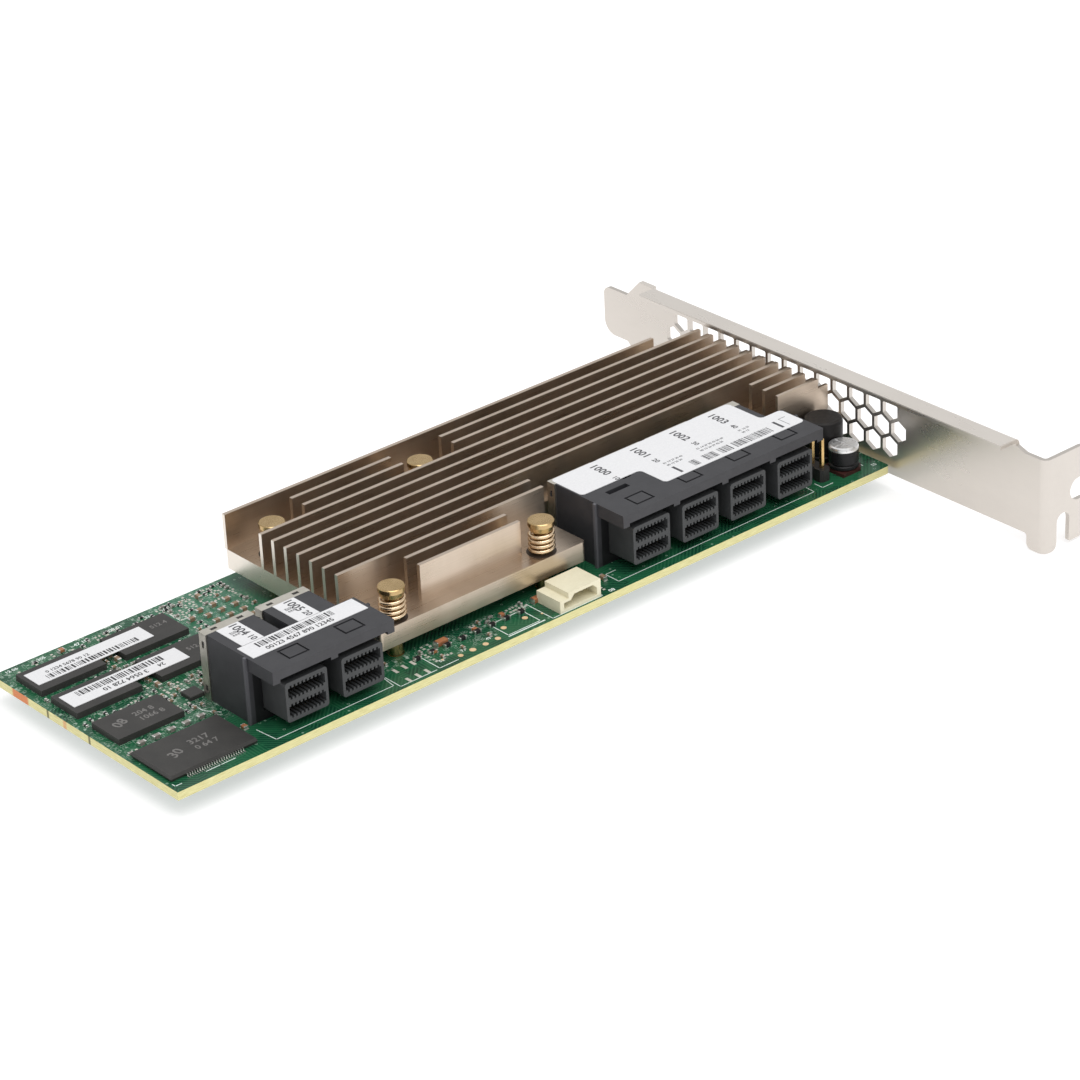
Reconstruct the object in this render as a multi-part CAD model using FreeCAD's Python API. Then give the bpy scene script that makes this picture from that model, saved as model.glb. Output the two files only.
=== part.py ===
import FreeCAD
import Part
import math
import os

# Low-profile storage controller card on a full-height rear bracket, in millimetres.
# X runs along the card towards the bracket, Y runs from the port edge to the slot edge, and Z
# points out of the component side. The origin is the near corner of the board's component
# face, at the end away from the bracket.

# Board
board_length = 166.65
board_thickness = 1.57
tail_width = 54.8
body_width = 60.65
slot_edge_width = 68.9
tail_length = 65.0
board_corner_radius = 0.8
same_point = 1e-6
full_turn = 360
key_from_bracket = 59.05
key_width = 1.9
key_depth = 7.65
short_finger_length = 11.65
long_finger_length = 38.65
finger_corner = 0.9

# Gold contacts on the slot edge
contact_pitch = 1.0
contact_width = 0.7
contact_length = 5.6
contact_thickness = 0.05
contact_edge_gap = 0.7
contact_end_gap = 0.35

# Bracket sheet
bracket_gap = 1.0
bracket_length = 120.02
bracket_width = 18.42
bracket_sheet = 0.9
bend_radius = 1.5
tongue_tip_y = 81.74
tongue_width = 10.19
tongue_length = 6.85
tongue_top_radius = 1.6
tongue_bottom_radius = 3.0
plateau_length = 4.4
flange_reach = 4.2
flange_near_y = -31.0
top_relief = 2.3
relief_length = 2.2
ear_drop = 3.0
ear_run = 4.4
ear_radius = 1.2
tab_depth = 11.43
tab_corner_radius = 3.0
screw_slot_width = 4.42
screw_slot_start = 5.9
screw_slot_height = 7.6
side_notch_width = 3.4
side_notch_start = 1.8
sheet_break = 0.3
arc_gap = 0.01
side_notch_depth = 7.0
tab_outer_drop = 2.5
bend_relief = 0.4

# Vent holes of the bracket
vent_pitch = 4.45
vent_web = 0.65
vent_first_y = 0.93
vent_middle_z = 7.1
vent_long_row = 15

# Lugs that hold the bracket under the board
lug_width = 9.0
lug_reach = 7.6
lug_screw_inset = 4.1
lug_places_y = (19.5, 56.0)
lug_screw_radius = 1.4
lug_screw_head_radius = 2.5
lug_screw_head_height = 1.5
lug_screw_length = 4.2
lug_screw_point = 0.4
lug_screw_crown = 0.6
screw_clearance = 0.1

# Heat sink
sink_floor = 3.0
sink_base = 3.9
sink_height = 10.9
sink_left = 49.8
sink_near = 8.3
sink_far = 52.9
sink_port_gap_left = 3.3
sink_port_gap_right = 1.1
sink_port_gap_back = 3.2
sink_return_y = 15.9
sink_corner_radius = 0.8
end_gap_to_board = 0.6
far_corner_cut = 12.4
far_corner_cut_y = 50.9
fin_count = 12
fin_pitch = 3.64
fin_thickness = 0.8
flange_notch_length = 2.6
flange_notch_depth = 1.9
pocket_left_end = 62.3
pocket_right_start = 85.4
near_pocket_y = 17.5
far_pocket_y = 43.2
short_fin_gap = 1.1

# Spring pins that press the heat sink down
pin_left_x = 54.9
pin_near_y = 10.9
pin_spacing = 34.3
pin_depth_spacing = 33.95
pin_hole_radius = 1.6
pin_shank_radius = 1.45
pin_head_radius = 2.45
pin_head_edge = 0.15
pin_head_land = 0.9
pin_head_height = 1.9
pin_head_taper = 0.3
pin_head_top = 13.4
pin_barb_radius = 1.85
pin_barb_reach = 2.1
pin_slit_width = 0.6
pin_slit_rise = 0.6
pin_barb_gap = 0.1
pin_barb_taper = 0.5
pin_barb_shoulder = 0.3
spring_wire_radius = 0.36
spring_radius = 2.15
spring_turns = 4.0
spring_steps_per_turn = 12

# Chips under the heat sink
processor_size = 27.0
expander_size = 23.0
expander_from_end = 38.65
expander_y = 38.6
pad_thickness = 0.6
lid_inset = 2.2
substrate_height = 1.1
package_corner = 0.6

# Memory and flash
memory_length = 13.6
memory_depth = 8.0
memory_height = 1.2
memory_left_x = 1.9
memory_right_x = 19.6
memory_row_y = (42.1, 31.4, 19.2)
label_thickness = 0.1
memory_label_length = 24.4
memory_label_depth = 4.7
memory_label_left = 2.7
memory_label_offset = 2.0
flash_left = 1.0
flash_near = 3.2
flash_length = 18.0
flash_depth = 11.5
flash_height = 1.1
flash_chamfer = 0.25
flash_lead_count = 24
flash_lead_pitch = 0.5
flash_lead_width = 0.22
flash_lead_reach = 0.85
flash_lead_thickness = 0.15
flash_lead_knee = 0.3

# Multi-port connectors
port_pitch = 12.0
port_margin = 7.0
port_height = 13.0
quad_from_end = 41.05
dual_centre_x = 35.0
hood_front_y = 1.6
hood_back_y = 12.6
body_front_y = 8.7
body_back_y = 22.0
roof_thickness = 1.9
tooth_width = 1.5
tooth_drop = 2.5
skirt_thickness = 0.8
rear_body_width = 10.0
insert_width = 8.9
insert_bottom = 1.9
insert_height = 7.6
insert_front_y = 2.1
insert_back_y = 15.0
insert_shift = 0.1
insert_corner_radius = 0.6
insert_clearance = 0.05
insert_slot_width = 7.8
insert_slot_height = 1.8
insert_slot_depth = 8.0
insert_slot_offset = 1.75
comb_count = 9
comb_pitch = 0.82
comb_groove_width = 0.4
comb_groove_depth = 0.45
latch_room_width = 7.6
latch_room_depth = 4.0
latch_slot_width = 5.0
latch_slot_depth = 1.3
latch_slot_y = 9.8
latch_slot_shift = -0.5
pad_frame_width = 4.4
pad_frame_depth = 3.6
pad_frame_y = 3.3
pad_frame_groove = 0.4
pad_frame_recess = 0.3
corner_rib_width = 0.6
corner_rib_stand = 0.5
peg_radius = 0.8
peg_length = 1.5
peg_clearance = 0.1
port_contact_width = 0.28
port_contact_thickness = 0.2
port_contact_length = 6.0

# Rear shields of the connectors
shield_sheet = 0.25
shield_rim = 2.0
shield_hole_length = 1.3
shield_hole_width = 0.7
shield_hole_inset = 2.2

# Labels on the connectors
quad_label_side_gap = 0.3
quad_label_back_y = 21.7
quad_label_step_back_y = 13.0
quad_label_front_y = 6.1
quad_label_left_step = 14.4
quad_label_right_step = 5.4
quad_label_radius = 0.9
dual_label_near_y = 7.7
dual_label_far_y = 12.3
dual_label_end_gap = 0.7
number_label_width = 4.6
number_label_inset = 1.9
number_label_gap = 0.15

# Four-way side-entry header
header_left = 84.2
header_near = 0.6
header_width = 9.6
header_depth = 6.4
header_height = 3.5
header_shoulder_width = 2.0
header_shoulder_height = 2.4
header_mouth_inset = 0.9
header_mouth_floor = 0.6
header_mouth_height = 2.3
header_mouth_depth = 4.4
header_arch_chamfer = 0.9
header_wall = 0.5
header_pin_count = 4
header_pin_pitch = 1.25
header_pin_size = 0.4
header_pin_length = 5.2
header_pin_foot = 0.9

# Two-pin jumper header
jumper_from_end = 13.05
jumper_near = 3.8
jumper_pitch = 2.54
jumper_base_height = 2.5
jumper_chamfer = 0.5
jumper_pin_size = 0.64
jumper_pin_point = 0.128
jumper_pin_top = 8.6
jumper_pin_below = 1.5

# Capacitors beside the bracket
can_from_end = 7.05
can_neck_rise = 1.0
can_edge_radius = 0.5
can_vent_margin = 0.75
can_y = 5.3
can_radius = 2.9
can_height = 5.4
can_foot_height = 0.7
can_foot_size = 5.8
can_foot_corner = 1.2
can_groove = 0.25
can_vent_depth = 0.15
can_vent_width = 0.3
tall_from_end = 5.7
tall_seal_step = 0.6
tall_groove_depth = 0.3
tall_y = 12.05
tall_radius = 3.75
tall_height = 8.2
tall_edge_radius = 0.7
tall_groove_height = 1.1
tall_seal_height = 0.5

# Small parts
controller_chip_x = 19.3
controller_chip_y = 22.6
controller_chip_size = 3.0
controller_chip_height = 0.8
crystal_x = 72.0
crystal_y = 1.9
crystal_length = 3.2
crystal_depth = 2.5
crystal_height = 0.7
regulator_x = 38.5
regulator_y = 30.5
regulator_size = 4.2
regulator_height = 1.6
back_capacitor_rows = 4
back_capacitor_pitch = 4.5
chip_part_length = 1.6
chip_part_depth = 0.8
chip_part_height = 0.7
block_edge_share = 0.15
capacitor_row_x = 4.0
capacitor_row_step = 3.1
capacitor_row_count = 5
capacitor_row_y = 16.4
edge_row_x = 55.0
edge_row_step = 3.4
edge_row_count = 8
edge_row_y = 5.6
field_x = 38.5
field_y = 36.5
field_step_x = 3.0
field_step_y = 2.6
field_columns = 3
field_rows = 5

bracket_inner_x = board_length + bracket_gap
bracket_outer_x = bracket_inner_x + bracket_sheet
bracket_bottom = -board_thickness - bracket_sheet
bracket_top = bracket_bottom + bracket_width
tab_outer_y = tongue_tip_y - bracket_length
tab_inner_y = tab_outer_y + bracket_sheet
inner_bend_radius = bend_radius - bracket_sheet
sink_base_top = sink_floor + sink_base
sink_top = sink_floor + sink_height
sink_right = board_length - end_gap_to_board
quad_centre_x = board_length - quad_from_end
jumper_x = board_length - jumper_from_end
can_x = board_length - can_from_end
tall_x = board_length - tall_from_end
expander_x = board_length - expander_from_end
far_corner_cut_x = board_length - far_corner_cut
quad_half_width = (4 - 1) * port_pitch / 2 + port_margin
sink_step_x = quad_centre_x - quad_half_width - sink_port_gap_left
sink_return_x = quad_centre_x + quad_half_width + sink_port_gap_right
sink_step_y = body_back_y + sink_port_gap_back
pin_places = [
    (pin_left_x + i * pin_spacing, pin_near_y + j * pin_depth_spacing)
    for i in range(2)
    for j in range(2)
]
lug_screw_x = bracket_inner_x - lug_screw_inset
processor_x = pin_left_x + pin_spacing / 2
processor_y = pin_near_y + pin_depth_spacing / 2


def flat_xy(u, v, level):
    return FreeCAD.Vector(u, v, level)


def flat_xz(u, v, level):
    return FreeCAD.Vector(u, level, v)


def flat_yz(u, v, level):
    return FreeCAD.Vector(level, u, v)


def rounded_wire(corners, place, level):
    """Closed wire through (u, v) or (u, v, radius) corners, each radius as a tangent arc."""
    starts = []
    edges = []
    count = len(corners)
    for index in range(count):
        corner = corners[index]
        here = FreeCAD.Vector(corner[0], corner[1], 0)
        radius = corner[2] if len(corner) > 2 else 0.0
        if radius <= 0:
            starts.append((here, here, here))
            continue
        before = corners[index - 1]
        after = corners[(index + 1) % count]
        to_before = (FreeCAD.Vector(before[0], before[1], 0) - here).normalize()
        to_after = (FreeCAD.Vector(after[0], after[1], 0) - here).normalize()
        half = to_before.getAngle(to_after) / 2
        cut = radius / math.tan(half)
        centre = here + (to_before + to_after).normalize() * (radius / math.sin(half))
        middle = centre + (here - centre).normalize() * radius
        starts.append((here + to_before * cut, middle, here + to_after * cut))
    for index in range(count):
        first, middle, last = [place(p.x, p.y, level) for p in starts[index]]
        if not first.isEqual(last, same_point):
            edges.append(Part.Arc(first, middle, last).toShape())
        following = place(starts[(index + 1) % count][0].x, starts[(index + 1) % count][0].y, level)
        if not last.isEqual(following, same_point):
            edges.append(Part.LineSegment(last, following).toShape())
    return Part.Wire(edges)


def plate(corners, place, low, high):
    """Solid between two levels of a plane, with the outline of rounded_wire."""
    face = Part.Face(rounded_wire(corners, place, low))
    return face.extrude(place(0, 0, high - low))


def box(x0, x1, y0, y1, z0, z1):
    return Part.makeBox(x1 - x0, y1 - y0, z1 - z0, FreeCAD.Vector(x0, y0, z0))


def rod(x, y, z0, z1, radius):
    return Part.makeCylinder(radius, z1 - z0, FreeCAD.Vector(x, y, z0))


def revolve(x, y, profile):
    """Solid turned about the vertical through (x, y) from (radius, height) points."""
    points = [FreeCAD.Vector(x + r, y, z) for r, z in profile]
    face = Part.Face(Part.makePolygon(points + points[:1]))
    return face.revolve(FreeCAD.Vector(x, y, 0), FreeCAD.Vector(0, 0, 1), full_turn)


def join(shapes):
    shapes = list(shapes)
    return shapes[0].multiFuse(shapes[1:]).removeSplitter() if len(shapes) > 1 else shapes[0]


def sheet_angle(z_edge, z_side, reach, y0, y1):
    """Strip folded from the plate's long edge towards the board, with its bend."""
    x_turn = bracket_outer_x - bend_radius
    x_end = bracket_inner_x - reach
    z_turn = z_edge - z_side * bend_radius
    z_inside = z_edge - z_side * bracket_sheet
    slope = math.sqrt(0.5)
    outer_mid = (x_turn + bend_radius * slope, z_turn + z_side * bend_radius * slope)
    inner_mid = (x_turn + inner_bend_radius * slope, z_turn + z_side * inner_bend_radius * slope)
    spots = [
        (bracket_outer_x, z_turn), outer_mid, (x_turn, z_edge), (x_end, z_edge),
        (x_end, z_inside), (x_turn, z_inside), inner_mid, (bracket_inner_x, z_turn),
    ]
    p = [flat_xz(u, v, y0) for u, v in spots]
    edges = [
        Part.Arc(p[0], p[1], p[2]).toShape(),
        Part.LineSegment(p[2], p[3]).toShape(),
        Part.LineSegment(p[3], p[4]).toShape(),
        Part.LineSegment(p[4], p[5]).toShape(),
        Part.Arc(p[5], p[6], p[7]).toShape(),
        Part.LineSegment(p[7], p[0]).toShape(),
    ]
    return Part.Face(Part.Wire(edges)).extrude(FreeCAD.Vector(0, y1 - y0, 0))


def make_board():
    key_x = bracket_inner_x - key_from_bracket
    finger_right = key_x + key_width / 2 + short_finger_length
    finger_left = key_x - key_width / 2 - long_finger_length
    blank = plate(
        [
            (0, 0),
            (board_length, 0, board_corner_radius),
            (board_length, body_width, board_corner_radius),
            (finger_right, body_width, finger_corner),
            (finger_right, slot_edge_width, finger_corner),
            (finger_left, slot_edge_width, finger_corner),
            (finger_left, body_width, finger_corner),
            (tail_length, body_width, board_corner_radius),
            (tail_length, tail_width, board_corner_radius),
            (0, tail_width, board_corner_radius),
        ],
        flat_xy, -board_thickness, 0,
    )
    key_floor = slot_edge_width - key_depth + key_width / 2
    cuts = [
        box(key_x - key_width / 2, key_x + key_width / 2, key_floor, slot_edge_width + 1,
            -board_thickness - 1, 1),
        rod(key_x, key_floor, -board_thickness - 1, 1, key_width / 2),
    ]
    for x, y in pin_places:
        cuts.append(rod(x, y, -board_thickness - 1, 1, pin_hole_radius))
    for y in lug_places_y:
        cuts.append(rod(lug_screw_x, y, -board_thickness - 1, 1, lug_screw_radius + screw_clearance))
    for centre, count in ((quad_centre_x, 4), (dual_centre_x, 2)):
        for x, y in peg_places(centre, count):
            cuts.append(rod(x, y, -board_thickness - 1, 1, peg_radius + peg_clearance))
    half_pin = jumper_pin_size / 2 + peg_clearance
    for y in jumper_pin_places():
        cuts.append(box(jumper_x - half_pin, jumper_x + half_pin, y - half_pin, y + half_pin,
                        -board_thickness - 1, 1))
    return blank.cut(cuts)


def make_edge_contacts():
    key_x = bracket_inner_x - key_from_bracket
    far = slot_edge_width - contact_edge_gap
    solids = []
    runs = (
        (key_x + key_width / 2, short_finger_length),
        (key_x - key_width / 2 - long_finger_length, long_finger_length),
    )
    for start, length in runs:
        count = int((length - 2 * contact_end_gap) / contact_pitch)
        first = start + (length - (count - 1) * contact_pitch) / 2
        for index in range(count):
            x = first + index * contact_pitch
            for low in (0, -board_thickness - contact_thickness):
                solids.append(box(x - contact_width / 2, x + contact_width / 2,
                                  far - contact_length, far, low, low + contact_thickness))
    return Part.makeCompound(solids)


def make_bracket():
    flange_far_y = tongue_tip_y - tongue_length - (bracket_width - tongue_width) / 2 - plateau_length
    shoulder = (bracket_width - tongue_width) / 2
    tongue_root_y = tongue_tip_y - tongue_length
    bend_y = tab_outer_y + bend_radius
    tab_top = bracket_top - top_relief
    ear_bottom = bracket_bottom - ear_drop
    flange_root = bracket_top - bend_radius
    outline = [
        (bend_y, ear_bottom),
        (bend_y - bend_radius + ear_run, ear_bottom, ear_radius),
        (bend_y - bend_radius + ear_run, bracket_bottom, ear_radius / 2),
        (tongue_root_y - shoulder, bracket_bottom, 0.5),
        (tongue_root_y, bracket_bottom + shoulder, 0.5),
        (tongue_tip_y, bracket_bottom + shoulder, tongue_bottom_radius),
        (tongue_tip_y, bracket_top - shoulder, tongue_top_radius),
        (tongue_root_y, bracket_top - shoulder, 0.5),
        (tongue_root_y - shoulder, bracket_top, 0.5),
        (flange_far_y + bend_relief, bracket_top, sheet_break),
        (flange_far_y + bend_relief, flange_root),
        (flange_near_y, flange_root),
        (flange_near_y - relief_length, tab_top, 0.5),
        (bend_y, tab_top),
    ]
    wall = plate(outline, flat_yz, bracket_inner_x, bracket_outer_x)
    lug_spans = [(y - lug_width / 2, y + lug_width / 2) for y in lug_places_y]
    for y0, y1 in lug_spans:
        wall = wall.cut(box(bracket_inner_x - 1, bracket_outer_x + 1, y0 - bend_relief,
                            y1 + bend_relief, bracket_bottom - 1, bracket_bottom + bend_radius))
    pieces = [wall, sheet_angle(bracket_top, 1, flange_reach, flange_near_y, flange_far_y)]
    for y0, y1 in lug_spans:
        lug = sheet_angle(bracket_bottom, -1, lug_reach, y0, y1)
        centre_y = (y0 + y1) / 2
        pieces.append(lug.cut(rod(lug_screw_x, centre_y, bracket_bottom - 1, 0,
                                  lug_screw_radius + screw_clearance / 2)))
    pieces.append(make_tab(ear_bottom, tab_top))
    return join(pieces).cut(make_vents())


def make_tab(ear_bottom, tab_top):
    """Screw tab folded outwards, with its bend, screw slot and side notch."""
    turn_x = bracket_inner_x + bend_radius
    turn_y = tab_outer_y + bend_radius
    centre = FreeCAD.Vector(turn_x, turn_y, ear_bottom)
    up = FreeCAD.Vector(0, 0, 1)
    rise = tab_top - ear_bottom
    outer = Part.makeCylinder(bend_radius, rise, centre, up)
    inner = Part.makeCylinder(inner_bend_radius, rise, centre, up)
    quarter = box(turn_x - bend_radius, turn_x, turn_y - bend_radius, turn_y, ear_bottom, tab_top)
    bend = outer.common(quarter).cut(inner)
    end_x = bracket_outer_x + tab_depth
    notch_left = turn_x + side_notch_start
    notch_right = notch_left + side_notch_width
    half_slot = screw_slot_width / 2
    slot_end = bracket_outer_x + screw_slot_start
    slot_z = bracket_bottom + screw_slot_height
    outer_bottom = bracket_bottom - tab_outer_drop
    notch_top = ear_bottom + side_notch_depth
    round_notch = side_notch_width / 2 - arc_gap
    round_slot = half_slot - arc_gap
    flat = plate(
        [
            (turn_x, ear_bottom),
            (notch_left, ear_bottom, ear_radius),
            (notch_left, notch_top, round_notch),
            (notch_right, notch_top, round_notch),
            (notch_right, outer_bottom, sheet_break),
            (end_x, outer_bottom, ear_radius),
            (end_x, slot_z - half_slot, sheet_break),
            (slot_end, slot_z - half_slot, round_slot),
            (slot_end, slot_z + half_slot, round_slot),
            (end_x, slot_z + half_slot, sheet_break),
            (end_x, tab_top, tab_corner_radius),
            (turn_x, tab_top),
        ],
        flat_xz, tab_outer_y, tab_inner_y,
    )
    return bend.fuse(flat)


def make_vents():
    """Hexagonal vent holes in three staggered rows, points up and down."""
    point_radius = (vent_pitch - vent_web) / math.sqrt(3)
    row_rise = vent_pitch * math.sqrt(3) / 2
    holes = []
    for row in (-1, 0, 1):
        count = vent_long_row if row == 0 else vent_long_row - 1
        first_y = vent_first_y - (vent_pitch / 2 if row == 0 else 0)
        for index in range(count):
            y = first_y + index * vent_pitch
            z = vent_middle_z + row * row_rise
            corners = [
                (y + point_radius * math.sin(math.radians(60 * k)),
                 z + point_radius * math.cos(math.radians(60 * k)))
                for k in range(6)
            ]
            holes.append(plate(corners, flat_yz, bracket_inner_x - 1, bracket_outer_x + 1))
    return Part.makeCompound(holes)


def make_bracket_screws():
    solids = []
    for y in lug_places_y:
        solids.append(revolve(lug_screw_x, y, [
            (0, lug_screw_head_height),
            (lug_screw_head_radius - lug_screw_crown, lug_screw_head_height),
            (lug_screw_head_radius, lug_screw_head_height - lug_screw_crown),
            (lug_screw_head_radius, 0),
            (lug_screw_radius, 0),
            (lug_screw_radius, -lug_screw_length + lug_screw_point),
            (lug_screw_radius - lug_screw_point, -lug_screw_length),
            (0, -lug_screw_length),
        ]))
    return Part.makeCompound(solids)


def make_heat_sink():
    """Extruded fin block, milled back round the pins, the ports and the bracket."""
    base = plate(
        [
            (sink_left, sink_near, sink_corner_radius),
            (sink_step_x, sink_near, sink_corner_radius),
            (sink_step_x, sink_step_y, sink_corner_radius),
            (sink_return_x, sink_step_y, sink_corner_radius),
            (sink_return_x, sink_return_y, sink_corner_radius),
            (sink_right, sink_return_y, sink_corner_radius),
            (sink_right, far_corner_cut_y, sink_corner_radius),
            (far_corner_cut_x, far_corner_cut_y, sink_corner_radius),
            (far_corner_cut_x, sink_far, sink_corner_radius),
            (sink_left, sink_far, sink_corner_radius),
        ],
        flat_xy, sink_floor, sink_base_top,
    )
    fins = []
    for index in range(fin_count):
        y = sink_far - index * fin_pitch
        right = far_corner_cut_x if y > far_corner_cut_y else sink_right
        fins.append(box(sink_left, right, y - fin_thickness, y, sink_base_top, sink_top))
    pockets = []
    for y0, y1 in ((0, near_pocket_y), (far_pocket_y, sink_far - fin_thickness)):
        pockets.append(box(0, pocket_left_end, y0, y1, sink_base_top, sink_top + 1))
        pockets.append(box(pocket_right_start, sink_step_x, y0, y1, sink_base_top, sink_top + 1))
    pockets.append(box(sink_step_x, sink_return_x + short_fin_gap, 0, sink_step_y,
                       sink_base_top, sink_top + 1))
    pockets.append(box(sink_step_x, sink_right + 1, 0, sink_return_y, sink_base_top, sink_top + 1))
    pockets.append(box(sink_right - flange_notch_length, sink_right + 1, 0, sink_far + 1,
                       sink_top - flange_notch_depth, sink_top + 1))
    block = join([base, Part.makeCompound(fins).cut(pockets)])
    holes = []
    for x, y in pin_places:
        holes.append(rod(x, y, sink_floor - 1, sink_base_top + 1, pin_hole_radius))
    return block.cut(holes)


def make_spring_pins():
    """Brass push pins: flared head, plain shank, and a slit barb below the board."""
    barb_top = -board_thickness - pin_barb_gap
    barb_tip = barb_top - pin_barb_reach
    head_under = pin_head_top - pin_head_height
    solids = []
    for x, y in pin_places:
        pin = revolve(x, y, [
            (0, pin_head_top),
            (pin_head_radius - pin_head_edge, pin_head_top),
            (pin_head_radius, pin_head_top - pin_head_edge),
            (pin_head_radius, pin_head_top - pin_head_land),
            (pin_head_radius - pin_head_taper, head_under),
            (pin_shank_radius, head_under),
            (pin_shank_radius, barb_top),
            (pin_barb_radius, barb_top - pin_barb_shoulder),
            (pin_shank_radius - pin_barb_taper, barb_tip),
            (0, barb_tip),
        ])
        slit = box(x - pin_barb_radius - 1, x + pin_barb_radius + 1, y - pin_slit_width / 2,
                   y + pin_slit_width / 2, barb_tip - 1, barb_top + pin_slit_rise)
        solids.append(pin.cut(slit))
    return Part.makeCompound(solids)


def spring_ring(angle, low, rise):
    """Corners of the wire's cross-section at one angle of the coil."""
    middle = low + rise * angle / (2 * math.pi)
    corners = []
    for out, up in ((1, 0), (0, 1), (-1, 0), (0, -1)):
        radius = spring_radius + out * spring_wire_radius
        corners.append(FreeCAD.Vector(radius * math.cos(angle), radius * math.sin(angle),
                                      middle + up * spring_wire_radius))
    return corners


def triangle(a, b, c):
    return Part.Face(Part.makePolygon([a, b, c, a]))


def make_springs():
    """Coil springs between the heat sink and the pin heads, their wire in short straight steps."""
    low = sink_base_top + spring_wire_radius
    high = pin_head_top - pin_head_height - spring_wire_radius
    rise = (high - low) / spring_turns
    steps = int(spring_turns * spring_steps_per_turn)
    rings = [spring_ring(2 * math.pi * k / spring_steps_per_turn, low, rise)
             for k in range(steps + 1)]
    faces = [triangle(*rings[0][:3]), triangle(rings[0][0], rings[0][2], rings[0][3])]
    faces += [triangle(*rings[-1][:3]), triangle(rings[-1][0], rings[-1][2], rings[-1][3])]
    for here, beyond in zip(rings, rings[1:]):
        for k in range(4):
            j = (k + 1) % 4
            faces.append(triangle(here[k], here[j], beyond[k]))
            faces.append(triangle(here[j], beyond[j], beyond[k]))
    coil = Part.makeSolid(Part.makeShell(faces))
    if coil.Volume < 0:
        coil.reverse()
    solids = []
    for x, y in pin_places:
        spring = coil.copy()
        spring.translate(FreeCAD.Vector(x, y, 0))
        solids.append(spring)
    return Part.makeCompound(solids)


def make_package(x, y, size):
    """Chip package: a square substrate with a smaller metal lid, up to its thermal pad."""
    half = size / 2
    lid = half - lid_inset
    substrate = plate(
        [(x - half, y - half, package_corner), (x + half, y - half, package_corner),
         (x + half, y + half, package_corner), (x - half, y + half, package_corner)],
        flat_xy, 0, substrate_height,
    )
    cap = box(x - lid, x + lid, y - lid, y + lid, substrate_height, sink_floor - pad_thickness)
    return substrate.fuse(cap).removeSplitter()


def make_pad(x, y, size):
    half = size / 2 - lid_inset - 0.5
    return box(x - half, x + half, y - half, y + half, sink_floor - pad_thickness, sink_floor)


def make_memory_chip(x, y):
    return box(x, x + memory_length, y, y + memory_depth, 0, memory_height)


def make_memory_label(row_y):
    low = row_y + memory_label_offset
    return box(memory_label_left, memory_label_left + memory_label_length, low,
               low + memory_label_depth, memory_height, memory_height + label_thickness)


def make_flash_chip():
    middle = flash_height / 2
    right = flash_left + flash_length
    far = flash_near + flash_depth
    wires = []
    for inset, level in ((flash_chamfer, 0), (0, middle), (flash_chamfer, flash_height)):
        wires.append(rounded_wire(
            [(flash_left + inset, flash_near + inset), (right - inset, flash_near + inset),
             (right - inset, far - inset), (flash_left + inset, far - inset)],
            flat_xy, level))
    return Part.makeLoft(wires, True, True)


def make_flash_leads():
    """Short gull leads along both long sides of the flash chip."""
    first = flash_left + (flash_length - (flash_lead_count - 1) * flash_lead_pitch) / 2
    far = flash_near + flash_depth
    middle = flash_height / 2
    solids = []
    for index in range(flash_lead_count):
        x = first + index * flash_lead_pitch
        for edge, side in ((flash_near, -1), (far, 1)):
            profile = [
                (edge, middle), (edge + side * flash_lead_knee, middle),
                (edge + side * flash_lead_knee, flash_lead_thickness),
                (edge + side * flash_lead_reach, flash_lead_thickness),
                (edge + side * flash_lead_reach, 0), (edge + side * (flash_lead_knee - flash_lead_thickness), 0),
                (edge + side * (flash_lead_knee - flash_lead_thickness), middle - flash_lead_thickness),
                (edge, middle - flash_lead_thickness),
            ]
            solids.append(plate(profile, flat_yz, x - flash_lead_width / 2,
                                x + flash_lead_width / 2))
    return Part.makeCompound(solids)


def port_centres(centre, count):
    return [centre + (index - (count - 1) / 2) * port_pitch for index in range(count)]


def housing_span(centre, count):
    half = (count - 1) * port_pitch / 2 + port_margin
    return centre - half, centre + half


def rear_body_span(centre, count, index):
    left = housing_span(centre, count)[0] + index * port_pitch
    return left, left + rear_body_width


def peg_places(centre, count):
    left, right = housing_span(centre, count)
    inset = port_margin / 2
    return [(left + inset, body_front_y + inset), (right - inset, body_front_y + inset)]


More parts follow.
